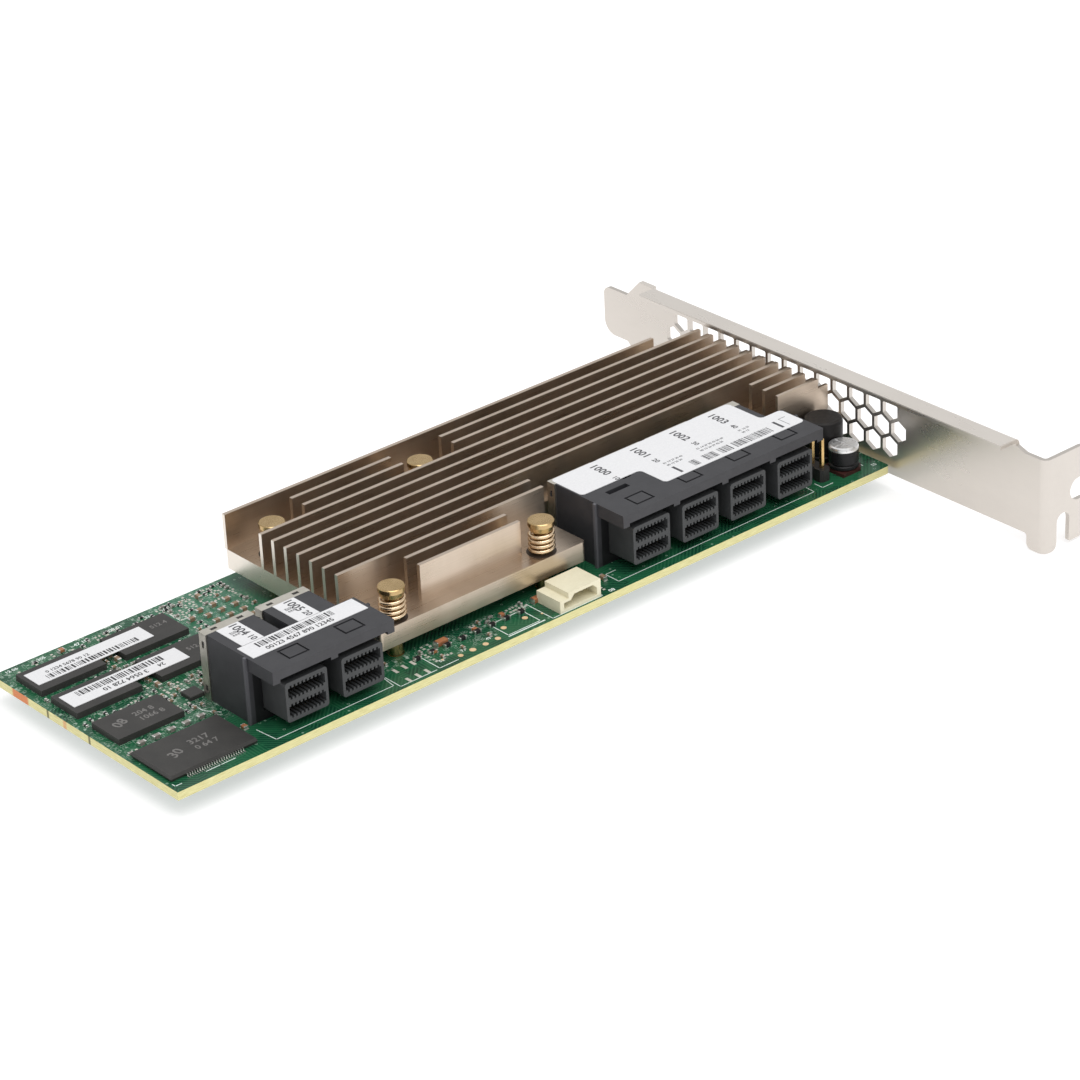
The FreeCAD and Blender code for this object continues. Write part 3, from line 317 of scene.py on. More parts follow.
@dataclass(frozen=True)
class SolderMask(Finish):
    """Green mask over copper: traces in four directions, ground fields, vias and cut edges."""

    deep: Triple = (0.005, 0.052, 0.026)
    light: Triple = (0.01, 0.092, 0.04)
    copper: Triple = (0.032, 0.148, 0.07)
    pale: Triple = (0.06, 0.19, 0.125)
    clutter: Triple = (0.36, 0.46, 0.38)
    edge: Triple = (0.78, 0.74, 0.4)
    edge_shade: Triple = (0.6, 0.55, 0.25)
    via_ring: Triple = (0.26, 0.42, 0.31)
    via_hole: Triple = (0.004, 0.02, 0.012)
    break_mark: Triple = (0.62, 0.12, 0.03)
    tick_mark: Triple = (0.1, 0.09, 0.04)
    trace_fold: float = 0.32
    # Share of the patches (from, to) and the turn of the traces in them
    patches: Rows = (
        (-0.1, 0.3, 0.0), (0.3, 0.55, math.pi / 4), (0.55, 0.8, -math.pi / 4),
        (0.8, 1.1, math.pi / 2),
    )
    # Crowded areas before and below the heat sink: x from, x to, y from, y to
    crowded: Rows = ((57.0, 72.0, 2.8, 6.4), (49.0, 90.0, 6.6, 9.6))

    def traces(self, g: Graph, p: Sock) -> Sock:
        """Bands of fine parallel lines whose direction changes from patch to patch."""
        pick = g.axes(g.cells(p, 0.16, 0.9, "MANHATTAN", "Color"))[0]
        total = None
        for low, high, turn in self.patches:
            across = g.axes(g.stretch(p, (1, 1, 1), turn=turn))[1]
            wave = g.math("PINGPONG", across, self.trace_fold)
            line = g.ramp(wave, 0.11, 0.17, (1.0, 0.0)) * g.window(pick, low, high, 0.001)
            total = line if total is None else total + line
        return total

    def busy(self, g: Graph, p: Sock, x: Sock, y: Sock) -> Sock:
        """Crowded small pads and stubs between the memory chips and before the heat sink."""
        flat = g.stretch(p, (1, 1, 0))
        bits = g.cells(flat, 1.35, 0.9, "CHEBYCHEV")
        cover = g.ramp(g.noise(flat, 0.45, 2.0), 0.41, 0.47)
        where = g.ramp(x, 48.0, 50.0, (1.0, 0.0)) * g.ramp(y, 13.0, 16.0)
        for x0, x1, y0, y1 in self.crowded:
            where = where + g.window(x, x0, x1, 1.0) * g.window(y, y0, y1, 0.5)
        return g.window(bits, 0.3, 0.37, 0.03) * cover * where * 0.9

    def edge_marks(self, g: Graph, x: Sock, y: Sock) -> tuple[Sock, Sock]:
        """Masks for the orange break-off mark and the dark ticks on the far left end."""
        left = g.ramp(x, 0.3, 0.5, (1.0, 0.0))
        orange = (g.window(y, 43.8, 48.6, 0.3) + g.window(y, 32.2, 33.2, 0.2) * 0.6) * left
        ticks = (g.window(y, 37.5, 38.1, 0.1) + g.window(y, 25.1, 25.7, 0.1)) * left
        return orange, ticks

    def inputs(self, g: Graph, p: Sock) -> dict:
        x, y, z = g.axes(p)
        lines = self.traces(g, p)
        field_mask = g.ramp(g.noise(g.stretch(p, (0.11, 0.16, 0.0)), 1.0, 2.0), 0.44, 0.5)
        near_via = g.cells(g.stretch(p, (1, 1, 0)), 0.62, 0.75)
        ring = g.window(near_via, 0.1, 0.17, 0.015)
        hole = g.ramp(near_via, 0.07, 0.1, (1.0, 0.0))
        chosen = g.ramp(g.noise(p, 0.22, 1.0), 0.5, 0.53)
        mask = g.mix(field_mask, self.deep, self.light)
        open_area = g.window(x, 33.0, 50.0, 5.0) * g.window(y, 27.0, 60.0, 4.0)
        mask = g.mix(open_area * 0.75, mask, self.pale)
        busy = self.busy(g, p, x, y)
        mask = g.mix(lines * 0.55, mask, self.copper)
        mask = g.mix(ring * chosen * 0.8, mask, self.via_ring)
        mask = g.mix(hole * chosen * 0.8, mask, self.via_hole)
        mask = g.mix(busy, mask, self.clutter)
        fibre = g.noise(g.stretch(p, (0.5, 0.5, 9.0)), 1.0, 3.0)
        cut = g.mix(g.ramp(fibre, 0.35, 0.65), self.edge_shade, self.edge)
        orange, ticks = self.edge_marks(g, x, y)
        cut = g.mix(orange * 0.8, cut, self.break_mark)
        cut = g.mix(ticks * 0.85, cut, self.tick_mark)
        side = g.window(z, -BOARD_THICKNESS + 0.008, -0.008, 0.004)
        relief = lines * 0.6 + field_mask * 0.4 - hole * chosen
        return dict(
            Base_Color=g.mix(side, mask, cut),
            Roughness=g.ramp(side, 0.0, 1.0, (0.27, 0.62)),
            Normal=g.bump(relief, 0.35, 0.035 * MM),
            Coat_Weight=g.ramp(side, 0.0, 1.0, (0.08, 0.0)), Specular_IOR_Level=0.3)


@dataclass(frozen=True)
class FinMetal(Finish):
    """Champagne plating of the fin block: drawn lines along the fins, sawn left end."""

    colour: Triple = (0.68, 0.575, 0.475)
    shade: Triple = (0.54, 0.445, 0.355)
    sawn: Triple = (0.74, 0.69, 0.62)
    left_end: float = 49.8
    metallic: float = 0.96

    def inputs(self, g: Graph, p: Sock) -> dict:
        x = g.axes(p)[0]
        drawn = g.noise(g.stretch(p, (0.02, 2.2, 2.2)), 3.0, 4.0, 0.6)
        across = g.noise(g.stretch(p, (0.5, 0.05, 0.05)), 0.35, 2.0)
        cloud = g.noise(p, 0.09, 4.0)
        tone = g.ramp(drawn * 0.3 + cloud * 0.4 + across * 0.3, 0.36, 0.64)
        end = g.ramp(x, self.left_end + 0.02, self.left_end + 0.05, (1.0, 0.0))
        colour = g.mix(tone, self.shade, self.colour)
        return dict(
            Base_Color=g.mix(end, colour, self.sawn), Metallic=self.metallic,
            Roughness=g.ramp(drawn * 0.6 + cloud * 0.4, 0.3, 0.7, (0.24, 0.38)),
            Normal=g.bump(drawn, 0.22, 0.02 * MM))


@dataclass(frozen=True)
class Paper(Finish):
    """White label stock with a faint fibre and a clear coat."""

    colour: Triple = (0.77, 0.77, 0.78)
    shade: Triple = (0.7, 0.7, 0.715)

    def inputs(self, g: Graph, p: Sock) -> dict:
        fibre = g.noise(p, 3.0, 4.0)
        return dict(
            Base_Color=g.mix(g.ramp(fibre, 0.3, 0.7), self.shade, self.colour),
            Roughness=g.ramp(fibre, 0.3, 0.7, (0.38, 0.55)), Coat_Weight=0.15,
            Normal=g.bump(fibre, 0.1, 0.01 * MM))


@dataclass(frozen=True)
class Sleeved(Finish):
    """Capacitor whose sleeve ends below a bright or dark top."""

    sleeve_top: float
    top: Triple
    sleeve: Triple = (0.012, 0.012, 0.013)
    metallic: float = 1.0
    roughness: float = 0.3
    shine: float = 0.22
    worn_share: float = 0.85

    def inputs(self, g: Graph, p: Sock) -> dict:
        z = g.axes(p)[2]
        cap = g.ramp(z, self.sleeve_top - 0.05, self.sleeve_top + 0.05)
        worn = g.noise(p, 1.4, 3.0)
        top = g.mix(g.ramp(worn, 0.3, 0.7), tuple(c * self.worn_share for c in self.top), self.top)
        return dict(
            Base_Color=g.mix(cap, self.sleeve, top), Metallic=cap * self.metallic,
            Specular_IOR_Level=self.shine,
            Roughness=g.ramp(worn, 0.3, 0.7, (self.roughness - 0.06, self.roughness + 0.1)),
            Normal=g.bump(worn, 0.2, 0.03 * MM))


@dataclass(frozen=True)
class Chip(Finish):
    """Dark moulded package with fine speckle and cloudy tone."""

    colour: Triple = (0.05, 0.048, 0.045)
    shade: Triple = (0.034, 0.033, 0.032)

    def inputs(self, g: Graph, p: Sock) -> dict:
        speck = g.noise(p, 14.0, 2.0, 0.7)
        cloud = g.noise(p, 0.25, 3.0)
        return dict(
            Base_Color=g.mix(g.ramp(speck * 0.5 + cloud * 0.5, 0.35, 0.65), self.shade,
                             self.colour),
            Roughness=g.ramp(speck, 0.3, 0.7, (0.42, 0.6)),
            Specular_IOR_Level=0.3, Normal=g.bump(speck, 0.3, 0.012 * MM))


@dataclass(frozen=True)
class Ink(Finish):
    """Printed ink or silk paint, slightly uneven."""

    colour: Triple

    def inputs(self, g: Graph, p: Sock) -> dict:
        cover = g.noise(p, 2.5, 3.0)
        pale = tuple(min(1.0, c * 1.5 + 0.02) for c in self.colour)
        return dict(
            Base_Color=g.mix(g.ramp(cover, 0.35, 0.75), self.colour, pale),
            Roughness=g.ramp(cover, 0.3, 0.7, (0.5, 0.7)))


class Palette:
    """Builds each finish once and hands it out by name."""

    FINISHES = (
        SolderMask("green_mask"),
        FinMetal("fin_metal"),
        Metal("bracket_nickel", (0.655, 0.615, 0.568), (0.6, 0.56, 0.517), 0.3,
              (0.08, 0.03, 0.08), 0.02, 0.03, 0.85, dull_above=15.8),
        Metal("gold", (0.86, 0.62, 0.28), (0.72, 0.48, 0.2), 0.24, stain=0.8),
        Moulded("pad_pale", (0.62, 0.6, 0.53), (0.46, 0.44, 0.39), 0.35, 4.0),
        # Painted shadow: dark brown of the discs round the spring feet
        Moulded("painted_shadow_brown", (0.055, 0.04, 0.03), (0.03, 0.022, 0.016), 0.5),
        Moulded("pad_gold", (0.8, 0.6, 0.38), (0.62, 0.42, 0.22), 0.35, 3.0),
        Metal("brass", (0.6, 0.43, 0.22), (0.46, 0.32, 0.15), 0.26, (2.0, 2.0, 6.0), 0.15, 0.5),
        Metal("spring_wire", (0.9, 0.72, 0.5), (0.68, 0.5, 0.33), 0.22),
        Metal("screw_steel", (0.66, 0.65, 0.63), (0.5, 0.49, 0.47), 0.3, line_depth=0.2),
        Metal("tin", (0.84, 0.83, 0.8), (0.66, 0.65, 0.62), 0.32, (3.0, 3.0, 3.0), 0.3, 1.2),
        Metal("shield_metal", (0.76, 0.73, 0.66), (0.6, 0.57, 0.5), 0.34, (3.0, 3.0, 0.3), 0.1, 0.3),
        Housing("quad_housing", left=100.6, right=150.6),
        Housing("dual_housing", left=22.0, right=48.0),
        Moulded("insert_plastic", (0.058, 0.06, 0.062), (0.04, 0.042, 0.044), 0.46, 6.0, 0.2, 0.3),
        Moulded("jumper_black", (0.03, 0.028, 0.027), (0.018, 0.017, 0.017), 0.5),
        Moulded("foot_brown", (0.06, 0.015, 0.012), (0.025, 0.01, 0.009), 0.5),
        Moulded("cream_plastic", (0.8, 0.755, 0.57), (0.71, 0.66, 0.48), 0.42, 3.0, 0.12),
        Moulded("pad_grey", (0.5, 0.52, 0.55), (0.4, 0.42, 0.45), 0.7),
        Moulded("ceramic_tan", (0.34, 0.235, 0.155), (0.21, 0.14, 0.09), 0.4, 8.0),
        Moulded("ceramic_grey", (0.3, 0.28, 0.25), (0.2, 0.18, 0.16), 0.42, 8.0),
        Moulded("film_black", (0.022, 0.022, 0.024), (0.012, 0.012, 0.013), 0.3, 8.0),
        Moulded("copper_brown", (0.46, 0.2, 0.09), (0.3, 0.11, 0.05), 0.4, 4.0),
        Chip("chip_resin"),
        Paper("label_paper"),
        Sleeved("can_finish", 4.55, (0.92, 0.92, 0.92), metallic=0.88),
        Sleeved("tall_finish", 7.95, (0.026, 0.024, 0.023), (0.01, 0.009, 0.009), 0.0, 0.42),
        Ink("print_black", (0.03, 0.03, 0.032)),
        Ink("print_grey", (0.05, 0.05, 0.055)),
        Ink("silk_white", (0.6, 0.68, 0.63)),
        Ink("laser_grey", (0.12, 0.115, 0.11)),
    )

    def __init__(self) -> None:
        self.made = {finish.name: finish.build() for finish in self.FINISHES}

    def __getitem__(self, name: str) -> Material:
        """The finish of that name."""
        return self.made[name]


# Nodes of the frame by their finish
NODES_OF_FINISH = {
    "green_mask": "board",
    "gold": "edge_contacts quad_port_contacts dual_port_contacts jumper_pins",
    "bracket_nickel": "bracket",
    "screw_steel": "bracket_screws",
    "fin_metal": "heat_sink",
    "brass": "spring_pins",
    "spring_wire": "pin_springs",
    "chip_resin": "raid_processor expander_chip flash_chip monitor_chip power_inductor "
                  "memory_chip_1 memory_chip_2 memory_chip_3 memory_chip_4 memory_chip_5",
    "pad_grey": "processor_pad expander_pad",
    "tin": "flash_leads fan_header_pins",
    "label_paper": "memory_label_upper memory_label_lower "
                   "quad_port_label dual_port_label port_number_labels",
    "quad_housing": "quad_port_housing",
    "insert_plastic": "quad_port_inserts dual_port_inserts",
    "shield_metal": "quad_port_shields dual_port_shields crystal",
    "dual_housing": "dual_port_housing",
    "cream_plastic": "fan_header",
    "jumper_black": "jumper_base",
    "can_finish": "can_capacitor",
    "foot_brown": "can_capacitor_foot",
    "tall_finish": "tall_capacitor",
    "ceramic_tan": "edge_capacitors back_capacitors",
    "film_black": "field_resistors",
}


def select_only(*objects: Piece) -> None:
    """Makes these objects the whole selection, the first one active."""
    bpy.ops.object.select_all(action="DESELECT")
    for item in objects:
        item.select_set(True)
    bpy.context.view_layer.objects.active = objects[0]


def settle() -> None:
    """Writes the selected object's place, turn and scale into its mesh."""
    bpy.ops.object.transform_apply(location=True, rotation=True, scale=True)


def block(name: str, low: Sequence[float], high: Sequence[float]) -> Piece:
    """Box between two corners in millimetres."""
    size = [(b - a) * MM for a, b in zip(low, high)]
    centre = [(a + b) / 2 * MM for a, b in zip(low, high)]
    bpy.ops.object.select_all(action="DESELECT")
    bpy.ops.mesh.primitive_cube_add(size=1.0, location=centre, scale=size)
    made = bpy.context.active_object
    made.name = name
    settle()
    return made


def remove(*pieces: Piece) -> None:
    """Deletes models that have been copied."""
    select_only(*pieces)
    bpy.ops.object.delete()


def bevel(piece: Piece, width: float) -> None:
    """Takes every sharp edge of a piece off by a width in millimetres."""
    select_only(piece)
    rounding = piece.modifiers.new("edge", "BEVEL")
    rounding.width = width * MM
    rounding.segments = 1
    rounding.limit_method = "ANGLE"
    bpy.ops.object.modifier_apply(modifier=rounding.name)


def paint(piece: Piece, material: Material) -> Piece:
    """Gives a piece one material."""
    piece.data.materials.clear()
    piece.data.materials.append(material)
    return piece


def shift(x: float, y: float, z: float = 0.0) -> Matrix:
    """Move in millimetres."""
    return Matrix.Translation(Vector((x, y, z)) * MM)


def copy_to(piece: Piece, place: Matrix) -> Piece:
    """Copy of a piece, with a mesh of its own, moved by a matrix."""
    twin = piece.copy()
    twin.data = piece.data.copy()
    twin.data.transform(place)
    bpy.context.collection.objects.link(twin)
    return twin


def join(pieces: Sequence[Piece], name: str) -> Piece:
    """Joins pieces into one object at the origin."""
    select_only(*pieces)
    if len(pieces) > 1:
        bpy.ops.object.join()
    made = bpy.context.active_object
    made.name = name
    settle()
    return made


def discs(rows: Sequence[tuple], z: float, name: str, sides: int = 20) -> Piece:
    """Thin round plates from (x, y, radius) rows, as one piece."""
    pieces = []
    for x, y, radius in rows:
        bpy.ops.object.select_all(action="DESELECT")
        bpy.ops.mesh.primitive_cylinder_add(vertices=sides, radius=radius * MM, depth=0.03 * MM,
                                            location=(x * MM, y * MM, z * MM))
        pieces.append(bpy.context.active_object)
    return join(pieces, name)


def fit(piece: Piece) -> Piece:
    """Puts a finished piece on the card."""
    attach(piece, BODY)
    return piece


@dataclass(frozen=True)
class Rect:
    """Rectangle on the board, in millimetres."""

    x0: float
    y0: float
    x1: float
    y1: float

    @classmethod
    def around(cls, x: float, y: float, half_x: float, half_y: float | None = None) -> "Rect":
        """Rectangle round a point, a square if one half is given."""
        half_y = half_x if half_y is None else half_y
        return cls(x - half_x, y - half_y, x + half_x, y + half_y)

    @property
    def size(self) -> Pair:
        """Width and depth."""
        return self.x1 - self.x0, self.y1 - self.y0

    @classmethod
    def of_node(cls, node: str, gap: float = 0.25) -> "Rect":
        """Box of a node seen from above, widened by a gap."""
        low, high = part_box(node)
        return cls(low[0] / MM - gap, low[1] / MM - gap, high[0] / MM + gap, high[1] / MM + gap)

    def meets(self, other: "Rect") -> bool:
        """Tells whether two rectangles overlap."""
        return (self.x0 < other.x1 and other.x0 < self.x1
                and self.y0 < other.y1 and other.y0 < self.y1)


@dataclass(frozen=True)
class PartKind:
    """One size of two-ended surface part."""

    name: str
    length: float
    depth: float
    height: float
    finish: str
    end: float = 0.22
    fitted: bool = True
    pad_margin: float = 0.05
    pad_reach: float = 0.16
    pad_top: float = 0.035
    inset: float = 0.01

    def pad(self, sign: int, palette: Palette) -> Piece:
        """Solder pad at one end."""
        half, side = self.length / 2, self.depth / 2
        side += self.pad_margin
        inner, outer = sorted((sign * (half - self.end - self.pad_margin),
                               sign * (half + self.pad_reach)))
        made = block(self.name + "_pad", (inner, -side, 0.001), (outer, side, self.pad_top))
        return paint(made, palette["tin" if self.fitted else self.finish])

    def model(self, palette: Palette) -> Piece:
        """Body with two tinned ends and two solder pads, centred on the origin."""
        pieces = [self.pad(sign, palette) for sign in (-1, 1)]
        if not self.fitted:
            return join(pieces, self.name)
        half, side = self.length / 2, self.depth / 2
        body = block(self.name, (-half + self.end, -side + self.inset, 0.04),
                     (half - self.end, side - self.inset, self.height - self.inset))
        bevel(body, 0.04)
        pieces.append(paint(body, palette[self.finish]))
        for sign in (-1, 1):
            inner, outer = sorted((sign * (half - self.end), sign * half))
            cap = block(self.name + "_end", (inner, -side, 0.03), (outer, side, self.height))
            bevel(cap, 0.05)
            pieces.append(paint(cap, palette["tin"]))
        return join(pieces, self.name)


@dataclass(frozen=True)
class Field:
    """Area of the board filled with small parts on a loose grid."""

    area: Rect
    kinds: str
    step: Pair
    density: float = 0.8
    turn_share: float = 0.5
    side: Side = Side.TOP


@dataclass
class SmallParts:
    """The many capacitors and resistors round the chips and connectors."""

    palette: Palette
    seed: int = 11
    kinds: tuple[PartKind, ...] = (
        PartKind("cap", 1.0, 0.5, 0.5, "ceramic_tan"),
        PartKind("grey", 1.0, 0.5, 0.45, "ceramic_grey"),
        PartKind("res", 1.0, 0.5, 0.35, "film_black"),
        PartKind("large", 1.6, 0.8, 0.8, "ceramic_tan", 0.3),
        PartKind("link", 1.2, 0.9, 0.6, "copper_brown", 0.2),
        PartKind("long", 2.8, 1.2, 0.9, "copper_brown", 0.3),
        PartKind("pads", 0.9, 0.4, 0.0, "pad_pale", 0.2, False),
    )
    placed: Rows = (
        ("long", 62.4, 7.4, False), ("long", 84.6, 7.3, False),
        ("link", 59.6, 6.0, False), ("link", 76.4, 7.6, False),
        ("link", 20.4, 8.9, True), ("link", 13.4, 53.1, False),
        ("large", 18.5, 43.2, True), ("large", 18.3, 30.8, True),
        ("large", 42.2, 51.6, True), ("large", 36.3, 45.6, False),
        ("link", 69.6, 6.9, True), ("large", 98.2, 5.0, True),
    )
    fields: tuple[Field, ...] = (
        Field(Rect(57.2, 3.1, 72.6, 8.1), "cap pads grey pads", (1.55, 1.15)),
        Field(Rect(50.0, 7.0, 90.0, 9.4), "grey pads cap pads", (1.4, 1.0), 0.85),
        Field(Rect(34.6, 22.9, 49.4, 54.0), "cap pads res grey pads", (1.6, 1.15), turn_share=0.4),
        Field(Rect(94.8, 1.8, 99.4, 7.8), "grey pads", (1.8, 1.3), 0.6),
        Field(Rect(15.9, 15.9, 21.0, 30.6), "cap res pads", (1.6, 1.2), 0.75),
        Field(Rect(22.0, 22.9, 34.0, 30.4), "cap grey pads", (1.6, 1.2), 0.7),
        Field(Rect(1.0, 28.1, 33.5, 30.4), "pads res", (1.5, 0.95)),
        Field(Rect(1.0, 39.9, 33.8, 41.3), "pads grey", (1.5, 0.95)),
        Field(Rect(1.0, 51.3, 50.0, 54.2), "pads res pads", (1.9, 1.1), 0.6),
        Field(Rect(15.9, 31.4, 19.2, 50.4), "cap pads", (1.6, 1.2), 0.7),
        Field(Rect(1.0, 15.2, 20.0, 17.4), "pads grey", (1.5, 0.95)),
        Field(Rect(66.0, 54.0, 160.0, 60.0), "cap large res", (2.6, 2.0), 0.5),
        Field(Rect(98.0, 23.0, 150.0, 25.0), "cap res", (2.2, 1.4), 0.6),
        Field(Rect(56.0, 4.0, 160.0, 58.0), "cap large res", (7.5, 5.5), 0.5, side=Side.BOTTOM),
    )
    blocked_nodes: str = (
        "flash_chip flash_leads memory_chip_1 memory_chip_2 memory_chip_3 memory_chip_4 "
        "memory_chip_5 monitor_chip crystal power_inductor fan_header fan_header_pins "
        "jumper_base can_capacitor_foot tall_capacitor dual_port_housing quad_port_housing")
    blocked_areas: tuple[Rect, ...] = (
        Rect(3.6, 16.0, 18.4, 17.6), Rect(38.0, 36.0, 46.6, 48.2), Rect(159.0, 15.0, 167.0, 24.5),
        Rect(159.0, 51.0, 167.0, 61.0), Rect(64.6, 3.4, 68.6, 8.4), Rect(47.9, 0.6, 56.9, 7.4),
        Rect(72.5, 0.9, 80.5, 6.9), Rect(22.4, 46.0, 34.2, 51.0),
    )
    # Loose spread of the parts in a field, and the room kept round parts and pins
    jitter: Pair = (0.12, 0.1)
    clear: Pair = (0.18, 0.08)
    placed_clear: float = 0.2
    pin_clear: float = 2.6

    def taken(self) -> list[Rect]:
        """Rectangles that the modelled parts already cover."""
        rects = [Rect.of_node(name) for name in self.blocked_nodes.split()]
        rects += [Rect.around(x, y, self.pin_clear) for x, y in PIN_CENTRES]
        return rects + list(self.blocked_areas)

    def build(self) -> list[Piece]:
        """Places the parts that the photo shows one by one, then fills the fields.

        Returns:
            One joined piece for the placed parts and one for each field.
        """
        dice = random.Random(self.seed)
        taken = self.taken()
        models = {kind.name: kind.model(self.palette) for kind in self.kinds}
        sizes = {kind.name: kind for kind in self.kinds}
        copies = []
        for name, x, y, upright in self.placed:
            copies.append(copy_to(models[name], self.place(x, y, upright, Side.TOP)))
            taken.append(Rect.around(x, y, sizes[name].length / 2 + self.placed_clear))
        finished = [fit(join(copies, "small_parts_placed"))]
        for number, field in enumerate(self.fields):
            spots = self.scatter(field, sizes, taken, dice)
            copies = [copy_to(models[name], place) for name, place in spots]
            if copies:
                finished.append(fit(join(copies, "small_parts_%02d" % number)))
        remove(*models.values())
        return finished

    def scatter(self, field: Field, sizes: dict[str, PartKind], taken: list[Rect],
                dice: random.Random) -> list[tuple[str, Matrix]]:
        """Draws the parts of one field.

        Args:
            field: the area and what fills it.
            sizes: kinds of parts by name.
            taken: rectangles of the top side that stay free.
            dice: the random numbers.

        Returns:
            Names of the parts with their places.
        """
        columns, rows = (int(span / step) for span, step in zip(field.area.size, field.step))
        used: list[Rect] = []
        spots = []
        for i in range(columns):
            for j in range(rows):
                if dice.random() > field.density:
                    continue
                kind = sizes[dice.choice(field.kinds.split())]
                x = field.area.x0 + (i + 0.5) * field.step[0]
                y = field.area.y0 + (j + 0.5) * field.step[1]
                x += dice.uniform(-self.jitter[0], self.jitter[0])
                y += dice.uniform(-self.jitter[1], self.jitter[1])
                upright = dice.random() < field.turn_share
                spans = (kind.length / 2 + self.clear[0], kind.depth / 2 + self.clear[1])
                spot = Rect.around(x, y, *(spans[::-1] if upright else spans))
                barred = used if field.side is Side.BOTTOM else taken + used
                if any(spot.meets(other) for other in barred):
                    continue
                used.append(spot)
                spots.append((kind.name, self.place(x, y, upright, field.side)))
        return spots

    def place(self, x: float, y: float, upright: bool, side: Side) -> Matrix:
        """Matrix that stands a part on one side of the board."""
        turn = Matrix.Rotation(math.pi / 2 if upright else 0.0, 4, "Z")
        move = shift(x, y)
        if side is Side.TOP:
            return move @ turn
        return shift(0.0, 0.0, -BOARD_THICKNESS) @ move @ Matrix.Rotation(math.pi, 4, "X") @ turn


@dataclass(frozen=True)
class PartGrid:
    """Evenly spaced parts that take the place of plain blocks of the frame."""

    node: str
    finish: str
    start: Pair
    step: Pair
    count: tuple[int, int]


@dataclass
class NamedParts:
    """Capacitors and resistors with tinned ends in place of the frame's plain blocks."""

    palette: Palette
    size: Triple = (1.6, 0.8, 0.7)
    end: float = 0.35
    inset: float = 0.02
    grids: tuple[PartGrid, ...] = (
        PartGrid("edge_capacitors", "ceramic_grey", (4.0, 16.4), (3.1, 0.0), (5, 1)),
        PartGrid("edge_capacitors", "film_black", (55.0, 5.6), (3.4, 0.0), (8, 1)),
        PartGrid("field_resistors", "ceramic_tan", (38.5, 36.5), (3.0, 2.6), (3, 5)),
    )

    def model(self, finish: str) -> Piece:
        """One part whose near left foot is the origin."""
        length, depth, height = self.size
        body = block("part", (self.end, self.inset, 0.0),
                     (length - self.end, depth - self.inset, height - self.inset))
        pieces = [paint(body, self.palette[finish])]
        for low, high in ((0.0, self.end), (length - self.end, length)):
            cap = block("part_end", (low, 0.0, 0.0), (high, depth, height))
            bevel(cap, 0.06)
            pieces.append(paint(cap, self.palette["tin"]))
        return join(pieces, "part")

    def build(self) -> list[Piece]:
        """One joined piece for each node that it stands in for."""
        groups: dict[str, list[Piece]] = {}
        for grid in self.grids:
            first = self.model(grid.finish)
            for i in range(grid.count[0]):
                for j in range(grid.count[1]):
                    place = shift(grid.start[0] + i * grid.step[0],
                                  grid.start[1] + j * grid.step[1])
                    groups.setdefault(grid.node, []).append(copy_to(first, place))
            remove(first)
        finished = []
        for node, copies in groups.items():
            made = join(copies, "dressed_" + node)
            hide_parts(node)
            finished.append(fit(made))
        return finished


@dataclass
class Print:
    """Numbers, bars and lines laid flat on a surface."""

    palette: Palette
    lift: float = 0.002
    thickness: float = 0.01
    text_lift: float = 0.006
    text_depth: float = 0.003
    weight: float = 0.03
    # Font size of digits that are one unit high
    font_ratio: float = 1.4

    def strip(self, x0: float, y0: float, x1: float, y1: float, z: float) -> Piece:
        """Thin bar on a surface at height z."""
        return block("strip", (x0, y0, z + self.lift), (x1, y1, z + self.thickness))

    def digits(self, text: str, x: float, y: float, z: float, height: float,
               turn: float = 0.0) -> Piece:
        """Raised numbers.

        Args:
            text: digits to write.
            x: left end of the line, in millimetres.
            y: its baseline.
            z: the surface that it lies on.
            height: height of the digits.
            turn: direction of the line in degrees.

        Returns:
            A mesh object at the origin.
        """
        bpy.ops.object.select_all(action="DESELECT")
        bpy.ops.object.text_add(location=(x * MM, y * MM, (z + self.text_lift) * MM),
                                rotation=(0, 0, math.radians(turn)))
        made = bpy.context.active_object
        made.data.body = text
        made.data.size = height * self.font_ratio * MM
        made.data.resolution_u = 2
        made.data.extrude = self.text_depth * MM
        made.data.offset = self.weight * height * MM
        bpy.ops.object.convert(target="MESH")
        made = bpy.context.active_object
        settle()
        return made

    def barcode(self, area: Rect, z: float, seed: int, pitch: float = 0.16) -> list[Piece]:
        """Bars of mixed widths, side by side in X, that fill a rectangle."""
        dice = random.Random(seed)
        bars = []
        at = area.x0
        while at < area.x1 - pitch:
            stop = min(at + pitch * dice.choice((0.6, 0.6, 1.2, 1.9)), area.x1)
            bars.append(self.strip(at, area.y0, stop, area.y1, z))
            at = stop + pitch * dice.choice((0.8, 0.8, 1.5))
        return bars

    def line(self, points: Sequence[Pair], z: float, width: float) -> list[Piece]:
        """Straight strokes through points in the plane."""
        strokes = []
        for (x0, y0), (x1, y1) in zip(points, points[1:]):
            length = math.hypot(x1 - x0, y1 - y0)
            stroke = self.strip(-width / 2, -width / 2, length + width / 2, width / 2, z)
            turn = Matrix.Rotation(math.atan2(y1 - y0, x1 - x0), 4, "Z")
            stroke.data.transform(shift(x0, y0) @ turn)
            strokes.append(stroke)
        return strokes

    def finish(self, pieces: Sequence[Piece], name: str, ink: str) -> Piece:
        """Joins print into one piece of one ink."""
        return fit(paint(join(pieces, name), self.palette[ink]))


